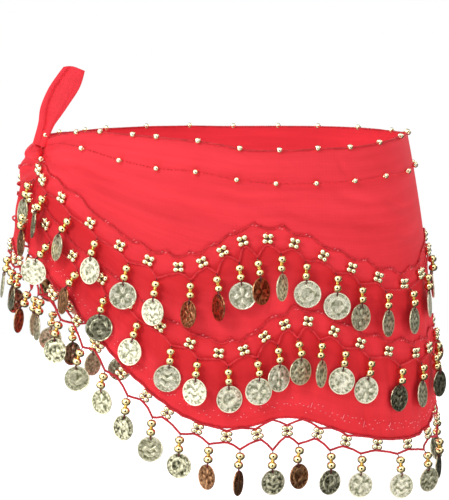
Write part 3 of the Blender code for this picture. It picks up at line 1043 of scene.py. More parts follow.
class Stamp:
    """A small mesh that is copied many times into one piece."""

    def __init__(self, bm: bmesh.types.BMesh, name: str) -> None:
        """Keeps the shape, in millimetres.

        Args:
            bm: The shape. It is freed.
            name: A name for its mesh.
        """
        self.mesh = bpy.data.meshes.new(name)
        bm.to_mesh(self.mesh)
        bm.free()

    def put(self, bm: bmesh.types.BMesh, matrix: Matrix, material: int = 0) -> None:
        """Adds a copy.

        Args:
            bm: The piece that gets it.
            matrix: Its place.
            material: The index of its material.
        """
        copy = self.mesh.copy()
        copy.transform(matrix)
        copy.polygons.foreach_set("material_index", [material] * len(copy.polygons))
        bm.from_mesh(copy)
        bpy.data.meshes.remove(copy)


def turned(profile: Sequence[tuple[float, float]], steps: int, closed: bool) -> bmesh.types.BMesh:
    """Spins a profile round Z.

    Args:
        profile: Radius and height of each point.
        steps: Steps of a whole turn.
        closed: Whether the profile's last point joins its first.

    Returns:
        The turned shape.
    """
    bm = bmesh.new()
    verts = [bm.verts.new((radius, 0, height)) for radius, height in profile]
    edges = [bm.edges.new(pair) for pair in zip(verts, verts[1:])]
    if closed:
        edges.append(bm.edges.new((verts[-1], verts[0])))
    bmesh.ops.spin(
        bm, geom=verts + edges, cent=(0, 0, 0), axis=(0, 0, 1), angle=math.tau, steps=steps, use_merge=True
    )
    bmesh.ops.remove_doubles(bm, verts=bm.verts, dist=0.001)
    bmesh.ops.recalc_face_normals(bm, faces=bm.faces)
    return bm


def axes_at(middle: Vector, across: Vector, up: Vector) -> Matrix:
    """A place whose X runs across, Z up and Y into the cloth.

    Args:
        middle: The place.
        across: The direction of X.
        up: Roughly the direction of Z.

    Returns:
        The matrix of the place.
    """
    x = across.normalized()
    y = up.cross(x).normalized()
    z = x.cross(y)
    return Matrix.Translation(middle) @ Matrix((x, y, z)).transposed().to_4x4()


class Strand(NamedTuple):
    """One thread of a cord, as its points and their radii."""

    points: list[Vector]
    radii: list[float]


def threads_mesh(strands: Iterable[Strand], sides: int) -> bpy.types.Mesh:
    """Sweeps strands into one mesh.

    Args:
        strands: The strands, in millimetres.
        sides: Sides of each strand, an even number from 4.

    Returns:
        The mesh, with closed ends.
    """
    curve = bpy.data.curves.new("strands", "CURVE")
    curve.dimensions = "3D"
    curve.bevel_depth = 1.0
    curve.bevel_resolution = (sides - 4) // 2
    curve.use_fill_caps = True
    for strand in strands:
        spline = curve.splines.new("POLY")
        spline.points.add(len(strand.points) - 1)
        for point, place, radius in zip(spline.points, strand.points, strand.radii):
            point.co = (*place, 1)
            point.radius = radius
    holder = bpy.data.objects.new("strands", curve)
    bpy.context.scene.collection.objects.link(holder)
    bpy.context.view_layer.update()
    mesh = bpy.data.meshes.new_from_object(holder.evaluated_get(bpy.context.evaluated_depsgraph_get()))
    bpy.data.objects.remove(holder)
    bpy.data.curves.remove(curve)
    bm = bmesh.new()
    bm.from_mesh(mesh)
    bmesh.ops.remove_doubles(bm, verts=bm.verts, dist=0.0005)
    bmesh.ops.recalc_face_normals(bm, faces=bm.faces)
    bm.to_mesh(mesh)
    bm.free()
    return mesh


class Route:
    """A thread's path over the cloth, as angles, heights and offsets read at even steps."""

    def __init__(self, stops: Sequence[Stop], step: float, rounded: bool) -> None:
        """Works out the path's points and the directions out of the cloth.

        Args:
            stops: Angle, height and offset from the cloth of each stop.
            step: Length between points.
            rounded: Whether the path curves through its stops.
        """
        self.points: list[Vector] = []
        self.outs: list[Vector] = []
        for i in range(len(stops) - 1):
            near = stops[max(0, i - 1)], stops[i], stops[i + 1], stops[min(len(stops) - 1, i + 2)]
            run = (HIP.on_cloth(*stops[i + 1]) - HIP.on_cloth(*stops[i])).length
            count = max(1, round(run / step))
            for k in range(count + (i == len(stops) - 2)):
                angle, z, offset = (self.between(values, k / count, rounded) for values in zip(*near))
                self.points.append(HIP.on_cloth(angle, z, offset))
                self.outs.append(HIP.outward(angle, z))

    def between(self, values: Sequence[float], t: float, rounded: bool) -> float:
        """Reads one value between the second and third of four stops."""
        before, start, end, after = values
        if not rounded:
            return start + (end - start) * t
        return blend(start, end, (end - before) / 2, (after - start) / 2, t)

    def plies(self, count: int, radius: float, spread: float, flat: float, pitch: float) -> list[Strand]:
        """Twists strands round the path.

        Args:
            count: How many strands.
            radius: Radius of one strand.
            spread: How far a strand lies from the path, along the cloth.
            flat: The same, out of the cloth.
            pitch: Length of one turn.

        Returns:
            The strands.
        """
        strands = [Strand([], []) for _ in range(count)]
        travelled = 0.0
        last = len(self.points) - 1
        for i, (point, out) in enumerate(zip(self.points, self.outs)):
            along = (self.points[min(last, i + 1)] - self.points[max(0, i - 1)]).normalized()
            across = out.cross(along).normalized()
            travelled += (point - self.points[max(0, i - 1)]).length
            for k, strand in enumerate(strands):
                turn = math.tau * (travelled / pitch + k / count)
                strand.points.append(point + across * spread * math.cos(turn) + out * flat * math.sin(turn))
                strand.radii.append(radius * (1 + 0.08 * wander(travelled * 1.3, k)))
        return strands


@dataclass
class Drape:
    """The one length of cloth, from its end under the knot round the hips to its other end."""

    finishes: Finishes
    columns: int = 400
    rows: int = 84
    thickness: float = 0.5
    cut_length: float = 0.95
    cut_width: float = 0.26
    cut_area: float = 0.18
    edge_radius: float = 0.55
    edge_stitch: float = 2.1
    shade_top: float = 3
    shade_bottom: float = 38
    shade_start_blend: float = 7
    shade_end_blend: float = 20

    def corner(self, round_share: float, down_share: float) -> Spot:
        """The angle and level of a place given by shares of the cloth's length and width."""
        angle = HIP.front_end + (HIP.back_end - HIP.front_end) * round_share
        slant = smooth((angle - HIP.slant_from) / (HIP.back_end - HIP.slant_from))
        angle -= HIP.end_slant * down_share * slant
        top, hem = HIP.level("top", angle), HIP.level("hem", angle)
        return Spot(angle, top + (hem - top) * down_share)

    def build(self) -> bpy.types.Object:
        """Makes the cloth and its edging.

        Returns:
            The cloth.
        """
        bm = unit_grid(self.columns, self.rows, self.cut_length, self.cut_width)
        shade = bm.verts.layers.float.new("shade")
        for vert in bm.verts:
            angle, level = self.corner(vert.co.x + 0.5, 0.5 - vert.co.y)
            vert.co = HIP.on_cloth(angle, level, 0)
            vert[shade] = self.row_shade(angle, level)
        replaced = ("scarf_front", "scarf_back")
        cloth = make_piece("cloth", bm, self.finishes.cloth_sides(), replaced)
        thicken(cloth, self.thickness, -1)
        edging = self.build_edging()
        return cloth

    def row_shade(self, angle: float, level: float) -> float:
        """How far a place is in the soft shade under a row, from 0 to 1."""
        found = 0.0
        for column in ("row_1", "row_2"):
            down = HIP.level(column, angle) - level
            start = smooth((down - self.shade_top) / self.shade_start_blend)
            found = max(found, start * smooth((self.shade_bottom - down) / self.shade_end_blend))
        return found

    def build_edging(self) -> bpy.types.Object:
        """The overcast thread along all four edges."""
        shares = [i / 700 for i in range(701)]
        sides = [i / 120 for i in range(121)]
        borders = (
            [self.corner(share, 0) for share in shares],
            [self.corner(share, 1) for share in shares],
            [self.corner(0, share) for share in sides],
            [self.corner(1, share) for share in sides],
        )
        strands = []
        for border in borders:
            route = Route([(angle, level, -0.25) for angle, level in border], 0.75, False)
            strands += route.plies(2, self.edge_radius, 0.45, 0.4, self.edge_stitch)
        return make_piece("edging", threads_mesh(strands, 6), (self.finishes.threads["edging"],))


@dataclass
class DropShape:
    """The beads and coin of one drop, as shapes that are copied."""

    bead_radius: float = 4.05
    bead_half_height: float = 3.2
    hole: float = 0.8
    coin_radius: float = 12
    coin_steps: int = 48
    front_rings: tuple[float, ...] = (
        0.001, 0.12, 0.24, 0.34, 0.43, 0.51, 0.58, 0.65, 0.72, 0.79, 0.855, 0.90, 0.94, 0.985
    )
    back_rings: tuple[float, ...] = (0.985, 0.94, 0.9, 0.6, 0.3, 0.001)
    rim_share: float = 0.93
    rim_height: float = 0.62
    field_height: float = 0.32
    back_rim_height: float = 0.55
    back_field_height: float = 0.3
    relief: float = 0.5
    back_relief: float = 0.14

    def bead(
        self, radius: float, half_height: float, hole: float, steps: int, rings: int
    ) -> bmesh.types.BMesh:
        """A round bead with a hole along Z."""
        profile = []
        widest = radius - hole
        for i in range(rings + 1):
            turn = math.radians(-84 + 168 * i / rings)
            profile.append((hole + widest * math.cos(turn) ** 0.9, half_height * math.sin(turn)))
        return turned(profile, steps, True)

    def stamps(self) -> dict[str, Stamp]:
        """Every small shape by name."""
        made = {
            "bead": Stamp(self.bead(self.bead_radius, self.bead_half_height, self.hole, 12, 6), "bead"),
            "small": Stamp(self.bead(2.7, 2.2, 0.5, 8, 5), "small_bead"),
            "seed": Stamp(self.bead(1.75, 1.2, 0.5, 8, 4), "seed_bead"),
            "single": Stamp(self.bead(2.6, 2.3, 0.5, 12, 6), "single_bead"),
        }
        for motif in Motif:
            made[motif.name] = self.coin(motif)
        return made

    def ornament(self, motif: Motif, share: float, turn: float) -> float:
        """Height of the raised pattern on a coin.

        Args:
            motif: The ornament in the middle.
            share: Distance from the middle as a share of the radius.
            turn: Angle round the coin, in radians.

        Returns:
            The height above the field, from 0 to 1.
        """
        dot = 1.0 if round(turn * self.coin_steps / math.tau) % 3 == 0 else 0.0
        height = dot * math.exp(-(((share - 0.79) / 0.05) ** 2))
        if motif is Motif.ROSETTE:
            petals = max(0.0, math.cos(4 * turn)) ** 0.7
            height += petals * math.exp(-(((share - 0.38) / 0.16) ** 2))
        elif motif is Motif.CRESCENT:
            arc = smooth(1.6 + 2 * math.cos(turn - 2.2))
            height += arc * math.exp(-(((share - 0.58) / 0.06) ** 2))
            height += 0.8 * (1 - arc) * math.exp(-(((share - 0.34) / 0.12) ** 2))
        else:
            rise = share * math.sin(turn)
            wave = math.cos(rise * 13 + 1.5 * math.cos(share * math.cos(turn) * 9))
            height += max(0.0, wave) * smooth((0.66 - share) / 0.12)
        return min(1.0, height)

    def coin(self, motif: Motif) -> Stamp:
        """A coin that faces -Y, with a raised rim, a ring of dots and a plain ornament."""
        radius = self.coin_radius
        profile = self.coin_side(self.front_rings, self.rim_height, self.field_height)
        profile += [(radius, 0.35), (radius, -0.3)]
        profile += self.coin_side(self.back_rings, -self.back_rim_height, -self.back_field_height)
        bm = turned(profile, self.coin_steps, False)
        for vert in bm.verts:
            share = math.hypot(vert.co.x, vert.co.y) / radius
            if vert.co.z > 0.3 and share < self.rim_share:
                vert.co.z += self.relief * self.ornament(motif, share, math.atan2(vert.co.y, vert.co.x))
            elif vert.co.z < -0.2 and share < 0.88:
                vert.co.z += self.back_relief * self.ornament(motif, share, -math.atan2(vert.co.y, vert.co.x))
        raised = bm.verts.layers.float.new("raised")
        for vert in bm.verts:
            low = self.field_height if vert.co.z > 0 else self.field_height - 0.1
            vert[raised] = min(1.0, max(0.0, (abs(vert.co.z) - low) / 0.3))
        bmesh.ops.rotate(bm, cent=(0, 0, 0), matrix=Matrix.Rotation(math.radians(90), 3, "X"), verts=bm.verts)
        self.pierce(bm)
        return Stamp(bm, f"coin_{motif.name.lower()}")

    def coin_side(self, rings: Sequence[float], rim: float, field: float) -> list[tuple[float, float]]:
        """The profile of one side of a coin, with its rim and its field at these heights."""
        return [(share * self.coin_radius, rim if share > self.rim_share else field) for share in rings]

    def pierce(self, bm: bmesh.types.BMesh) -> None:
        """Opens the hole that the thread goes through, near the top of the coin."""
        hole = self.coin_radius * HOLE_SHARE
        near = [
            face
            for face in bm.faces
            if math.hypot(face.calc_center_median().x / 1.15, (face.calc_center_median().z - hole) / 1.5) < 1
        ]
        bmesh.ops.delete(bm, geom=near, context="FACES")
        rims = [edge for edge in bm.edges if edge.is_boundary]
        bmesh.ops.bridge_loops(bm, edges=rims)


@dataclass
class CoinRow:
    """One row: its crochet line, its thread net, its bead clusters and its coin drops."""

    row: str
    finishes: Finishes
    stamps: dict[str, Stamp]
    cluster_pitch: float = 4.8
    bead_offset: float = 4.7
    bead_give: float = 1.2
    coin_offset: float = 1.9
    over_thread: float = 2.2
    thread_margin: float = 4
    upper_bead: float = 6.7
    lower_bead: float = 14.4
    coin_top: float = 18.0
    foot: float = 5.2
    head: float = 4.6
    foot_width: float = 1.6
    limb_arch: float = 0.1
    root_reach: float = 1.8
    scallop_steps: int = 8
    scallop_lift: float = 0.9
    rise_on_slope: float = 7.0
    rise_on_level: float = 8.0
    peak_rise: float = 4.8
    net_lift: float = 0.8
    glint_rise: float = 10.6

    @property
    def line(self) -> str:
        """The column of levels that the row follows."""
        return "hem" if self.row == "row_3" else self.row

    @property
    def cluster_lift(self) -> float:
        """How far a cluster's middle lies off the cloth, or off its form below the hem."""
        return 1.0 if self.row == "row_3" else 2.6

    def below_line(self, angle: float, below: float) -> Spot:
        """A place below the row's line."""
        return Spot(angle, HIP.level(self.line, angle) - below)

    def clusters(self) -> list[Spot]:
        """Where every cluster is, all the way round."""
        hangers = HANGERS[self.row]
        places = [(hanger.cluster, hanger.below) for hanger in hangers]
        places += [(HIP.back_angle(hanger.cluster), hanger.below) for hanger in reversed(hangers[2:])]
        places += [(HIP.back_angle(end.cluster), end.below) for end in END_HANGERS[self.row]]
        return [self.below_line(angle, below) for angle, below in places]

    def drops(self) -> list[Drop]:
        """The drop after each cluster. Those of the back stretch lean and swing the other way."""
        hangers = HANGERS[self.row]
        made = [
            Drop(self.below_line(h.root, h.drop), h.front_turn, h.lift, h.lean, h.swing, h.patina_and_reflection)
            for h in hangers
        ]
        for h in reversed(hangers[2:-1]):
            root = self.below_line(HIP.back_angle(h.root), h.drop)
            made.append(Drop(root, h.back_turn, h.lift, -0.4 * h.lean, -0.6 * h.swing, h.patina_and_reflection))
        for end in END_HANGERS[self.row]:
            root = self.below_line(HIP.back_angle(end.root), end.drop)
            made.append(Drop(root, end.turn, end.lift, end.lean, end.swing, end.patina_and_reflection))
        return made

    def slope(self, angle: float) -> float:
        """The row line's slope at an angle, in radians."""
        rise = HIP.level(self.line, angle + 2) - HIP.level(self.line, angle - 2)
        return math.atan2(rise, 4 * HIP.length_per_degree(angle, HIP.level(self.line, angle)))

    def build(self) -> None:
        """Makes every piece of the row."""
        clusters, drops = self.clusters(), self.drops()
        self.build_threads(clusters, drops)
        self.build_clusters(clusters)
        self.build_drops(drops)
        loops = [self.loop_thread(drop) for drop in drops if drop.turn is not None]
        loops += [self.middle_stitch(spot) for spot in clusters]
        make_piece(f"{self.row}_loops", threads_mesh(loops, 6), (self.finishes.threads["loop"],))

    def build_threads(self, clusters: Sequence[Spot], drops: Sequence[Drop]) -> None:
        """The cords that run from cluster to drop, and the crochet line or the hem net above them."""
        zigzag = Route(self.zigzag(clusters, drops), 0.75, False)
        replaced = (f"{self.row}_front", f"{self.row}_back")
        if self.row == "row_3":
            strands = zigzag.plies(3, 0.55, 0.6, 0.5, 3.8)
            strands += Route(self.hem_net(clusters), 0.75, False).plies(3, 0.52, 0.58, 0.45, 3.6)
            material = self.finishes.threads["net"]
        else:
            strands = zigzag.plies(3, 0.44, 0.5, 0.4, 3.4)
            material = self.finishes.threads["cord"]
            scallops = Route(self.scallops(clusters), 0.7, True)
            crochet = scallops.plies(2, 0.44, 0.55, 0.3, 2.6) + self.picots(scallops)
            thread = self.finishes.threads["crochet"]
            make_piece(f"{self.row}_crochet", threads_mesh(crochet, 4), (thread,))
            # Painted highlights: pale pink strands under the peaks of the crochet line
            glints = threads_mesh(self.glints(clusters), 4)
            make_piece(f"{self.row}_glints", glints, (self.finishes.threads["mark"],))
        make_piece(f"{self.row}_threads", threads_mesh(strands, 6), (material,), replaced)

    def zigzag(self, clusters: Sequence[Spot], drops: Sequence[Drop]) -> list[Stop]:
        """Stops of the cord that runs from each cluster's foot to the drop's root and up again."""
        stops: list[Stop] = []
        for i, spot in enumerate(clusters):
            tilt = self.slope(spot.angle)
            per_degree = HIP.length_per_degree(*spot)
            side = self.foot_width * math.cos(tilt) / per_degree
            shift = self.foot * math.sin(tilt) / per_degree
            z = spot.level - self.foot * math.cos(tilt)
            lift = HIP.thread_offset(spot.angle)
            if i > 0:
                self.add_arch(stops, (spot.angle + shift - side, z, lift))
            rise = self.foot_width * math.sin(tilt)
            stops.append((spot.angle + shift - side, z - rise, lift))
            stops.append((spot.angle + shift + side, z + rise, lift))
            if i < len(drops):
                root = drops[i].root
                stop = (root.angle, root.level - self.root_reach, HIP.thread_offset(root.angle) + 0.6)
                self.add_arch(stops, stop)
                stops.append(stop)
        return stops

    def add_arch(self, stops: list[Stop], target: Stop) -> None:
        """Adds a stop halfway to the next one, a little above the straight line."""
        angle, z, lift = ((a + b) / 2 for a, b in zip(stops[-1], target))
        stops.append((angle, z + self.limb_arch * abs(stops[-1][1] - target[1]), lift))

    def scallops(self, clusters: Sequence[Spot]) -> list[Stop]:
        """Stops of the crochet line, which sags between peaks where the row is level."""
        stops: list[Stop] = []
        first = clusters[0].angle
        stops.append((first, HIP.level(self.line, first) + 5, self.scallop_lift))
        for i, (start, end) in enumerate(zip(clusters, clusters[1:])):
            middle, reach = (start.angle + end.angle) / 2, end.angle - start.angle
            for k in range(self.scallop_steps):
                angle = middle + reach * (k / self.scallop_steps)
                if angle > clusters[-1].angle:
                    break
                tilt = self.slope(angle)
                flat = math.cos(tilt) ** 6
                peak = (1 - abs(math.sin(math.pi * k / self.scallop_steps))) ** 1.3
                up = self.rise_on_slope * (1 - flat) + (self.rise_on_level + self.peak_rise * peak) * flat
                up += 0.5 * wander(i * 2.1 + k, 3)
                spread = up * math.sin(tilt) / HIP.length_per_degree(angle, HIP.level(self.line, angle))
                z = HIP.level(self.line, angle) + up * math.cos(tilt)
                stops.append((angle - spread, z, self.scallop_lift))
        return stops

    def picots(self, scallops: Route) -> list[Strand]:
        """Small loops that stand up from the crochet line, one for each stitch."""
        strands = []
        for i in range(2, len(scallops.points) - 3, 4):
            base, out = scallops.points[i], scallops.outs[i]
            along = (scallops.points[i + 1] - scallops.points[i - 1]).normalized()
            up = out.cross(along)
            if up.z < 0:
                up = -up
            tall = 1.5 + 0.9 * wander(i * 0.9, 5)
            points = [
                base - along * 0.7,
                base - along * 0.6 + up * tall * 0.6 + out * 0.3,
                base + up * tall + out * 0.1,
                base + along * 0.6 + up * tall * 0.6 + out * 0.3,
                base + along * 0.7,
            ]
            strands.append(Strand(points, [0.26] * len(points)))
        return strands

    def glints(self, clusters: Sequence[Spot]) -> list[Strand]:
        """Short pale pink strands under the peaks of the crochet line: painted highlights, where the thread
        catches the light.
        """
        strands = []
        for i, (start, end) in enumerate(zip(clusters, clusters[1:])):
            middle = (start.angle + end.angle) / 2
            if math.cos(self.slope(middle)) < 0.8:
                continue
            for k in range(2):
                angle = middle + (k - 0.5) * 0.9 + 0.3 * wander(i * 1.7 + k, 2)
                z = HIP.level(self.line, angle) + self.glint_rise + 1.2 * wander(i * 2.3 + k, 4)
                ends = [(angle - 0.25, z - 0.4, 1.5), (angle, z, 1.8), (angle + 0.25, z + 0.4, 1.5)]
                strands.append(Strand([HIP.on_cloth(*place) for place in ends], [0.26, 0.34, 0.26]))
        return strands

    def hem_net(self, clusters: Sequence[Spot]) -> list[Stop]:
        """Stops of the cord that ties each cluster's head to the hem on both sides of it."""
        stops: list[Stop] = []
        for i, spot in enumerate(clusters):
            tilt = self.slope(spot.angle)
            shift = self.head * math.sin(tilt) / HIP.length_per_degree(*spot)
            top = (spot.angle - shift, spot.level + self.head * math.cos(tilt), self.net_lift)
            if i > 0:
                self.add_arch(stops, top)
            stops.append(top)
            if i < len(clusters) - 1:
                middle = (spot.angle + clusters[i + 1].angle) / 2
                hem = (middle, HIP.level("hem", middle) - 0.2, self.net_lift)
                self.add_arch(stops, hem)
                stops.append(hem)
        return stops

    def drop_places(self, drop: Drop) -> DropPlaces:
        """Works out where a drop's beads and coin hang."""
        angle, z = drop.root
        radius = COIN_RADIUS[self.row]
        coin_offset = self.coin_offset + drop.lift + radius * abs(math.sin(math.radians(drop.turn or 0)))
        coin_middle = self.coin_top + radius
        reach = z - coin_middle - radius
        if any(reach < HIP.level(line, angle) + self.thread_margin for line in LINES_BELOW[self.row]):
            coin_offset += self.over_thread
        bead_offset = max(self.bead_offset, min(coin_offset, self.bead_offset + self.bead_give))
        per_degree = HIP.length_per_degree(angle, z)
        lean, swing = math.radians(drop.lean), math.radians(drop.swing)

        def at(down: float, offset: float) -> Vector:
            """A place on the drop, this far below its root."""
            between = max(0.0, min(down, self.lower_bead) - self.upper_bead)
            rest = max(0.0, down - self.lower_bead)
            sideways = math.sin(lean) * between + math.sin(swing) * rest
            fall = min(down, self.upper_bead) + math.cos(lean) * between + math.cos(swing) * rest
            return HIP.on_cloth(angle + sideways / per_degree, z - fall, offset)

        middle = at(coin_middle, coin_offset)
        top = at(coin_middle - radius, coin_offset)
        return DropPlaces(
            at(self.upper_bead, bead_offset),
            at(self.lower_bead, bead_offset),
            middle,
            middle.lerp(top, HOLE_SHARE),
            top,
            at(coin_middle + radius, coin_offset),
        )

    def loop_thread(self, drop: Drop) -> Strand:
        """The thread that runs down through the beads and loops through the coin's hole."""
        upper, lower, _, hole, top, _ = self.drop_places(drop)
        start = HIP.on_cloth(drop.root.angle, drop.root.level - 1.0, HIP.thread_offset(drop.root.angle))
        out = HIP.outward(*drop.root)
        points = [start, start.lerp(upper, 0.5), upper, lower, lower.lerp(top, 0.75)]
        points.append(top + out * 0.9)
        points.append(hole + (top - hole) * 0.25 + out * 1.0)
        points.append(hole - (top - hole) * 0.25)
        points.append(hole + (top - hole) * 0.25 - out * 1.0)
        points.append(top - out * 0.8)
        points.append(lower.lerp(top, 0.6))
        return Strand(points, [0.5, 0.45, 0.45, 0.5, 0.75, 0.7, 0.6, 0.55, 0.5, 0.5, 0.5])

    def middle_stitch(self, spot: Spot) -> Strand:
        """The dark stitch that shows in the middle of a cluster."""
        wide = 1.5 / HIP.length_per_degree(*spot)
        lift = self.cluster_lift + 0.2
        ends = [HIP.on_cloth(spot.angle + wide * side, spot.level, lift) for side in (-1, 0, 1)]
        return Strand(ends, [0.6, 1.1, 0.6])

    def build_clusters(self, clusters: Sequence[Spot]) -> None:
        """Four small beads at each cluster, turned with the row."""
        bm = bmesh.new()
        half = self.cluster_pitch / 2
        for i, spot in enumerate(clusters):
            tilt = self.slope(spot.angle) + 0.12 * wander(i * 1.9, 4)
            out = HIP.outward(*spot)
            level = Vector((0, 0, 1)).cross(out).normalized()
            across = level * math.cos(tilt) + Vector((0, 0, 1)) * math.sin(tilt)
            up = out.cross(across)
            middle = HIP.on_cloth(spot.angle, spot.level, self.cluster_lift)
            for side in (-half, half):
                for rise in (-half, half):
                    self.stamps["small"].put(bm, axes_at(middle + across * side + up * rise, across, up))
        make_piece(f"{self.row}_clusters", bm, (self.finishes.beads["small"],))

    def build_drops(self, drops: Sequence[Drop]) -> None:
        """Two large beads with a seed bead between them, and a coin, at each root."""
        beads, seeds, coins = bmesh.new(), bmesh.new(), bmesh.new()
        coins.verts.layers.float.new("raised")
        motifs = list(Motif)
        scale = COIN_RADIUS[self.row] / 12
        for i, drop in enumerate(drops):
            if drop.turn is None:
                continue
            upper, lower, middle, _, top, bottom = self.drop_places(drop)
            out = HIP.outward(*drop.root)
            upward = (upper - lower).normalized()
            across = upward.cross(out)
            for place in (upper, lower):
                self.stamps["bead"].put(beads, axes_at(place, across, upward))
            self.stamps["seed"].put(seeds, axes_at((upper + lower) / 2, across, upward))
            up = (top - bottom).normalized()
            facing = Matrix.Rotation(math.radians(drop.turn), 3, up) @ out
            place = axes_at(middle, up.cross(facing), up) @ Matrix.Scale(scale, 4)
            self.stamps[motifs[(i * 5 + i // 3) % 3].name].put(coins, place, drop.patina_and_reflection.value)
        make_piece(f"{self.row}_beads", beads, (self.finishes.beads["bead"],))
        make_piece(f"{self.row}_seeds", seeds, (self.finishes.beads["seed"],))
        make_piece(f"{self.row}_coins", coins, self.finishes.coins, sharp=50)


@dataclass
class Trimming:
    """Single beads at the top edge and on the stitched line below it, and marks above the hem."""

    finishes: Finishes
    stamps: dict[str, Stamp]
    top_rise: float = 0.6
    top_lift: float = 0.8
    line_lift: float = 2.2
    mark_above_hem: float = 11.5
    mark_spread: float = 6
    marks_end: float = 262
    streak_height: float = 4.5

    def build(self) -> None:
        """Makes the beads, the stitched line and the marks."""
        bm = bmesh.new()
        tops = list(TOP_BEADS) + [HIP.back_angle(angle) for angle in TOP_BEADS]
        for angle in tops:
            self.put_bead(bm, Spot(angle, HIP.level("top", angle) + self.top_rise), self.top_lift)
        line = list(LINE_BEADS)
        line += [Spot(HIP.back_angle(spot.angle), spot.level) for spot in reversed(LINE_BEADS)]
        for spot in line:
            self.put_bead(bm, spot, self.line_lift)
        for spot, offset in KNOT_BEADS.items():
            self.put_bead(bm, spot, offset)
        make_piece("single_beads", bm, (self.finishes.beads["small"],))
        route = Route([(spot.angle, spot.level, 0.4) for spot in list(LINE_START) + line], 0.7, True)
        stitches = threads_mesh(self.stitches(route), 6)
        make_piece("bead_line", stitches, (self.finishes.threads["crochet"],))
        marks = threads_mesh(self.hem_spots() + self.hem_streaks(), 4)
        make_piece("hem_marks", marks, (self.finishes.threads["mark"],))

    def put_bead(self, bm: bmesh.types.BMesh, spot: Spot, offset: float) -> None:
        """Places one bead with its hole along the cloth."""
        out = HIP.outward(*spot)
        across = Vector((0, 0, 1)).cross(out).normalized()
        self.stamps["single"].put(bm, axes_at(HIP.on_cloth(spot.angle, spot.level, offset), out, across))

    def stitches(self, route: Route) -> list[Strand]:
        """Uneven running stitches along a line."""
        strands = []
        start, count = 0, 0
        while start < len(route.points) - 8:
            count += 1
            length = 3 + round(1 + wander(count * 1.7, 2))
            points = [point.copy() for point in route.points[start : start + length]]
            points[0] -= route.outs[start] * 0.4
            points[-1] -= route.outs[start] * 0.4
            middle = 0.5 + 0.14 * abs(wander(count * 2.3, 5))
            strands.append(Strand(points, [0.22] + [middle] * (length - 2) + [0.22]))
            start += length + 1 - count % 2
        return strands

    def hem_spots(self) -> list[Strand]:
        """Small pale spots of thread, scattered in a band above the hem."""
        strands = []
        angle, count = -60.0, 0
        while angle < self.marks_end:
            count += 1
            angle += 0.95 + 0.5 * wander(count * 1.3, 6)
            up = self.mark_above_hem + self.mark_spread * wander(count * 2.45, 7)
            z = HIP.level("hem", angle) + up
            size = 0.4 + 0.45 * abs(wander(count * 2.9, 8))
            side = size / HIP.length_per_degree(angle, z)
            rise = size * wander(count * 3.7, 9)
            ends = [(angle - side, z - rise, 0.05), (angle, z, 0.35), (angle + side, z + rise, 0.05)]
            strands.append(Strand([HIP.on_cloth(*end) for end in ends], [0.28, 0.42, 0.28]))
        return strands

    def hem_streaks(self) -> list[Strand]:
        """Short upright runs of the same thread."""
        strands = []
        for angle, up in HEM_STREAKS:
            z = HIP.level("hem", angle) + up
            stops = [(angle + 0.2 * k, z + self.streak_height * (k / 3 - 0.5), 0.3) for k in range(4)]
            strands.append(Strand([HIP.on_cloth(*stop) for stop in stops], [0.25, 0.42, 0.42, 0.25]))
        return strands


@dataclass
class Knot:
    """The knot at the left hip: a pleated lump of cloth and the band that wraps it."""

    finishes: Finishes
    angle: float = -76
    half_sizes: tuple[float, float, float] = (6.2, 7.4, 6.8)
    sunk: float = 3.6
    seat: float = -0.25
    pleats: int = 9
    band_width: float = 3.6
    band_height: float = 1.3
    groove_place: float = 5.6
    groove_width: float = 1.3
    groove_depth: float = 1.1

    def frame_matrix(self) -> Matrix:
        """The knot's place, with X out of the cloth, Y along it and Z up."""
        out = HIP.outward(self.angle, HIP.knot_level)
        along = Vector((0, 0, 1)).cross(out)
        middle = HIP.on_cloth(self.angle, HIP.knot_level - self.sunk, self.half_sizes[0] + self.seat)
        return Matrix.Translation(middle) @ Matrix((out, along, Vector((0, 0, 1)))).transposed().to_4x4()

    def build(self) -> bpy.types.Object:
        """Makes the knot."""
        bm = bmesh.new()
        cut = bm.loops.layers.uv.new("cut")
        bmesh.ops.create_uvsphere(bm, u_segments=72, v_segments=40, radius=1)
        for vert in bm.verts:
            direction = vert.co.normalized()
            spin = math.atan2(direction.z, direction.y)
            side = math.hypot(direction.y, direction.z)
            pleat = math.cos(self.pleats * spin + 1.4 * wander(spin * 2, 3)) * side**2
            swell = 1 + 0.07 * pleat + 0.05 * wander(3 * spin + 2 * direction.x, 2)
            vert.co = Vector(direction[i] * self.half_sizes[i] * swell for i in range(3))
        self.wrap(bm)
        for face in bm.faces:
            for loop in face.loops:
                loop[cut].uv = (loop.vert.co.y * MM, loop.vert.co.z * MM)
        bmesh.ops.transform(bm, matrix=self.frame_matrix(), verts=bm.verts)
        return make_piece("knot_folds", bm, (self.finishes.cloths["outer"],), ("knot",))

    def wrap(self, bm: bmesh.types.BMesh) -> None:
        """Adds the band that goes over the knot, as a soft ridge in it."""
        for vert in bm.verts:
            slanted = vert.co.y * 0.75 + vert.co.z * 0.66
            band = math.exp(-((slanted / self.band_width) ** 2))
            if vert.co.x > 0:
                vert.co.x += self.band_height * band * smooth(vert.co.x / 3)
                groove = math.exp(-(((abs(slanted) - self.groove_place) / self.groove_width) ** 2))
                vert.co.x -= self.groove_depth * groove * smooth(vert.co.x / 3)


class TieSection(NamedTuple):
    """A cross section of the tie end."""

    angle: float
    x: float
    y: float
    z: float
    half_width: float


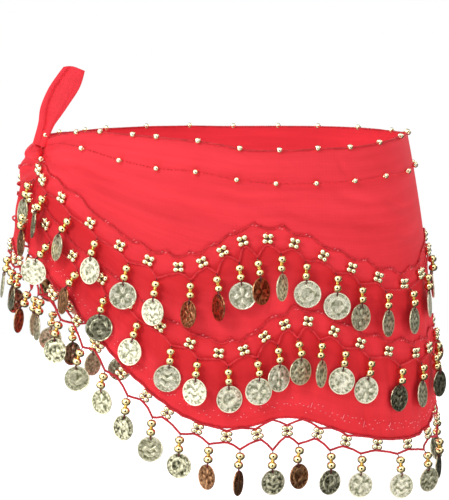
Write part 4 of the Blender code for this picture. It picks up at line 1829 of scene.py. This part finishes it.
@dataclass
class TieEnd:
    """The tie end above the knot, a band folded along its middle."""

    finishes: Finishes
    sections: tuple[TieSection, ...] = (
        TieSection(0, -160.5, -33, -4.5, 5.6),
        TieSection(1, -154.5, -36, 13, 6.6),
        TieSection(2, -150, -36, 25, 9.5),
        TieSection(3, -143, -35, 38, 11),
        TieSection(4, -135.5, -34, 49.5, 11),
        TieSection(5, -130.5, -33, 58.5, 9.5),
        TieSection(6, -127, -33, 64, 7.5),
    )
    cut_width: float = 0.045
    cut_length: float = 0.075
    thickness: float = 0.5
    half_thickness: float = 1.7
    columns: int = 56
    rows: int = 90
    groove: float = 2.4
    hollow: float = 2.2
    pleat: float = 0.5
    cut_from: float = 0.6
    fold_aside: float = 0.6
    fold_steep: float = 0.07
    fold_soft: float = 0.3
    corner_cut: float = 1.0

    def read(self, column: str, place: float) -> float:
        """Reads a column of the sections."""
        return read_curve(self.sections, column, place)

    def build(self) -> bpy.types.Object:
        """Makes the tie end."""
        bm = unit_grid(self.columns, self.rows, self.cut_width, self.cut_length)
        last = len(self.sections) - 1
        for vert in bm.verts:
            vert.co = self.point(vert.co.x + 0.5, (vert.co.y + 0.5) * last, last)
        tie = make_piece("tie_fold", bm, self.finishes.cloth_sides(), ("tie_end",))
        thicken(tie, self.thickness, 0)
        return tie

    def point(self, share: float, place: float, last: float) -> Vector:
        """A point of the folded band.

        Args:
            share: Place across the opened band, from 0 to 1. Both edges meet behind the band.
            place: Place along it, from 0 at the knot.
            last: The place of its tip.

        Returns:
            The point, in millimetres.
        """
        turn = math.tau * share
        aside = -math.sin(turn)
        front = -math.cos(turn)
        along = place / last
        corner = 0.25 * (1 - aside) + 0.5 * max(0.0, -aside) ** 2
        place -= smooth((along - self.cut_from) / (1 - self.cut_from)) * self.corner_cut * corner
        x, y, z, half = (self.read(column, place) for column in ("x", "y", "z", "half_width"))
        before, after = max(0.0, place - 0.2), min(last, place + 0.2)
        run = self.read("x", after) - self.read("x", before)
        rise = self.read("z", after) - self.read("z", before)
        across = Vector((rise, 0, -run)).normalized()
        pleat = self.pleat * wander(aside * 6 + along * 3, 4) * math.sin(math.pi * min(1, along * 1.2))
        depth = self.half_thickness * front - pleat
        if front > 0:
            depth -= self.fold(aside + self.fold_aside * smooth(along * 1.7), along)
        depth -= self.hollow * (1 - aside * aside) * math.sin(math.pi * along)
        return Vector((x, y - depth, z)) + across * half * aside

    def fold(self, aside: float, along: float) -> float:
        """How deep the upper layer dips at the inner fold, with a steep side and a soft one."""
        reach = self.fold_steep if aside < 0 else self.fold_soft
        return self.groove * math.exp(-((aside / reach) ** 2)) * smooth(along * 5)


class Lamp(NamedTuple):
    """A soft box: its place and size in metres, its power, and whether the metal mirrors it."""

    name: str
    place: tuple[float, float, float]
    width: float
    height: float
    power: float
    mirrored: bool


# A key light from the upper left, a fill behind the camera and lights for the other sides
LAMPS = (
    Lamp("key", (-1.3, -2.0, 1.5), 1.0, 1.0, 31, True),
    Lamp("fill", (0.5, -3.3, 0.75), 1.8, 1.0, 6, False),
    Lamp("left", (-2.5, -0.5, 0.5), 0.9, 1.2, 8, False),
    Lamp("right", (2.2, -1.2, 0.6), 0.7, 1.4, 9, False),
    Lamp("back_left", (-1.5, 2.2, 1.2), 1.2, 1.2, 20, True),
    Lamp("back_right", (1.8, 2.0, 0.9), 1.2, 1.2, 16, True),
)


@dataclass
class Studio:
    """Floor, lights, surroundings and camera."""

    target_level: float = -99.1
    distance: float = 2600
    elevation: float = 6
    frame_height: float = 440
    sensor: float = 36
    floor_level: float = -345
    floor_radius: float = 1300
    tent_side: tuple[float, float, float] = (-0.35, -0.8, 0.5)
    tent_strength: float = 2.0
    lens_stops: Stops = ((0.0, 1.0), (0.915, 1.0), (0.935, 0.02))
    tent_stops: Stops = ((0.0, 0.03), (0.40, 0.06), (0.52, 0.40), (0.66, 0.50), (0.80, 1.0))
    ambient_stops: Stops = ((0.0, 0.16), (0.5, 0.20), (1.0, 0.34))

    def build(self) -> None:
        """Makes everything round the scarf."""
        self.build_floor()
        for lamp in LAMPS:
            self.build_light(lamp)
        self.build_world()
        self.build_camera()

    def build_floor(self) -> None:
        """A round pale floor below the scarf."""
        bm = bmesh.new()
        bmesh.ops.create_circle(bm, cap_ends=True, segments=96, radius=self.floor_radius * MM)
        bmesh.ops.translate(bm, verts=bm.verts, vec=(0, 0, self.floor_level * MM))
        mesh = bpy.data.meshes.new("floor")
        bm.to_mesh(mesh)
        bm.free()
        mesh.materials.append(FloorFinish().build())
        floor = bpy.data.objects.new("floor", mesh)
        bpy.context.scene.collection.objects.link(floor)
        floor.visible_glossy = False

    def build_light(self, lamp: Lamp) -> None:
        """Adds a soft box that faces the scarf."""
        light = bpy.data.lights.new(lamp.name, "AREA")
        light.shape = "RECTANGLE"
        light.size = lamp.width
        light.size_y = lamp.height
        light.energy = lamp.power
        holder = bpy.data.objects.new(lamp.name, light)
        holder.location = lamp.place
        holder.visible_glossy = lamp.mirrored
        aim = Vector((0, 0, self.target_level * MM)) - holder.location
        holder.rotation_euler = aim.to_track_quat("-Z", "Y").to_euler()
        bpy.context.scene.collection.objects.link(holder)

    def build_world(self) -> None:
        """White to the camera, dim to the cloth, and a bright tent with a dark lens for the metal."""
        world = bpy.data.worlds.new("studio")
        world.use_nodes = True
        tree = world.node_tree
        direction = Wire(tree, tree.nodes.new("ShaderNodeTexCoord").outputs["Generated"])
        tilt = math.radians(self.elevation)
        to_camera = self.facing(tree, direction, Vector((0, -math.cos(tilt), math.sin(tilt))))
        to_tent = self.facing(tree, direction, Vector(self.tent_side).normalized())
        lens = self.ramp(tree, to_camera, self.lens_stops)
        tent = self.ramp(tree, to_tent, self.tent_stops)
        height = tree.nodes.new("ShaderNodeSeparateXYZ")
        tree.links.new(direction.socket, height.inputs[0])
        ambient = self.ramp(tree, Wire(tree, height.outputs["Z"]) * 0.5 + 0.5, self.ambient_stops)
        sees = tree.nodes.new("ShaderNodeLightPath")
        glossy = Wire(tree, sees.outputs["Is Glossy Ray"])
        camera = Wire(tree, sees.outputs["Is Camera Ray"])
        seen = ambient + glossy * (lens * tent * self.tent_strength - ambient)
        strength = seen + camera * (1 - seen)
        tree.links.new(strength.socket, tree.nodes["Background"].inputs["Strength"])
        tree.nodes["Background"].inputs["Color"].default_value = (1, 1, 1, 1)
        bpy.context.scene.world = world
        bpy.context.scene.view_settings.view_transform = "Standard"

    def facing(self, tree: bpy.types.NodeTree, direction: Wire, axis: Vector) -> Wire:
        """How far a direction faces an axis, from 0 for away to 1 for along it."""
        product = tree.nodes.new("ShaderNodeVectorMath")
        product.operation = "DOT_PRODUCT"
        product.inputs[1].default_value = axis
        tree.links.new(direction.socket, product.inputs[0])
        return Wire(tree, product.outputs["Value"]) * 0.5 + 0.5

    def ramp(self, tree: bpy.types.NodeTree, value: Wire, stops: Stops) -> Wire:
        """Reads a grey ramp as a value."""
        node = tree.nodes.new("ShaderNodeValToRGB")
        while len(node.color_ramp.elements) < len(stops):
            node.color_ramp.elements.new(1.0)
        for element, (position, shade) in zip(node.color_ramp.elements, stops):
            element.position = position
            element.color = (shade, shade, shade, 1)
        tree.links.new(value.socket, node.inputs[0])
        return Wire(tree, node.outputs["Color"])

    def build_camera(self) -> None:
        """The camera at the photograph's angle, with the long side of the frame upright."""
        tilt = math.radians(self.elevation)
        data = bpy.data.cameras.new("camera")
        data.sensor_width = self.sensor
        data.lens = self.sensor * self.distance / self.frame_height
        camera = bpy.data.objects.new("camera", data)
        camera.location = (
            0,
            -self.distance * math.cos(tilt) * MM,
            (self.target_level + self.distance * math.sin(tilt)) * MM,
        )
        camera.rotation_euler = (math.pi / 2 - tilt, 0, 0)
        bpy.context.scene.collection.objects.link(camera)
        bpy.context.scene.camera = camera


def main() -> None:
    """Builds the studio and then the scarf, from the cloth outwards."""
    logging.basicConfig(level=logging.INFO, format="%(message)s")
    Studio().build()
    finishes = Finishes()
    stamps = DropShape().stamps()
    Drape(finishes).build()
    Knot(finishes).build()
    TieEnd(finishes).build()
    for row in HANGERS:
        CoinRow(row, finishes, stamps).build()
    Trimming(finishes, stamps).build()


if __name__ == "__main__":
    main()
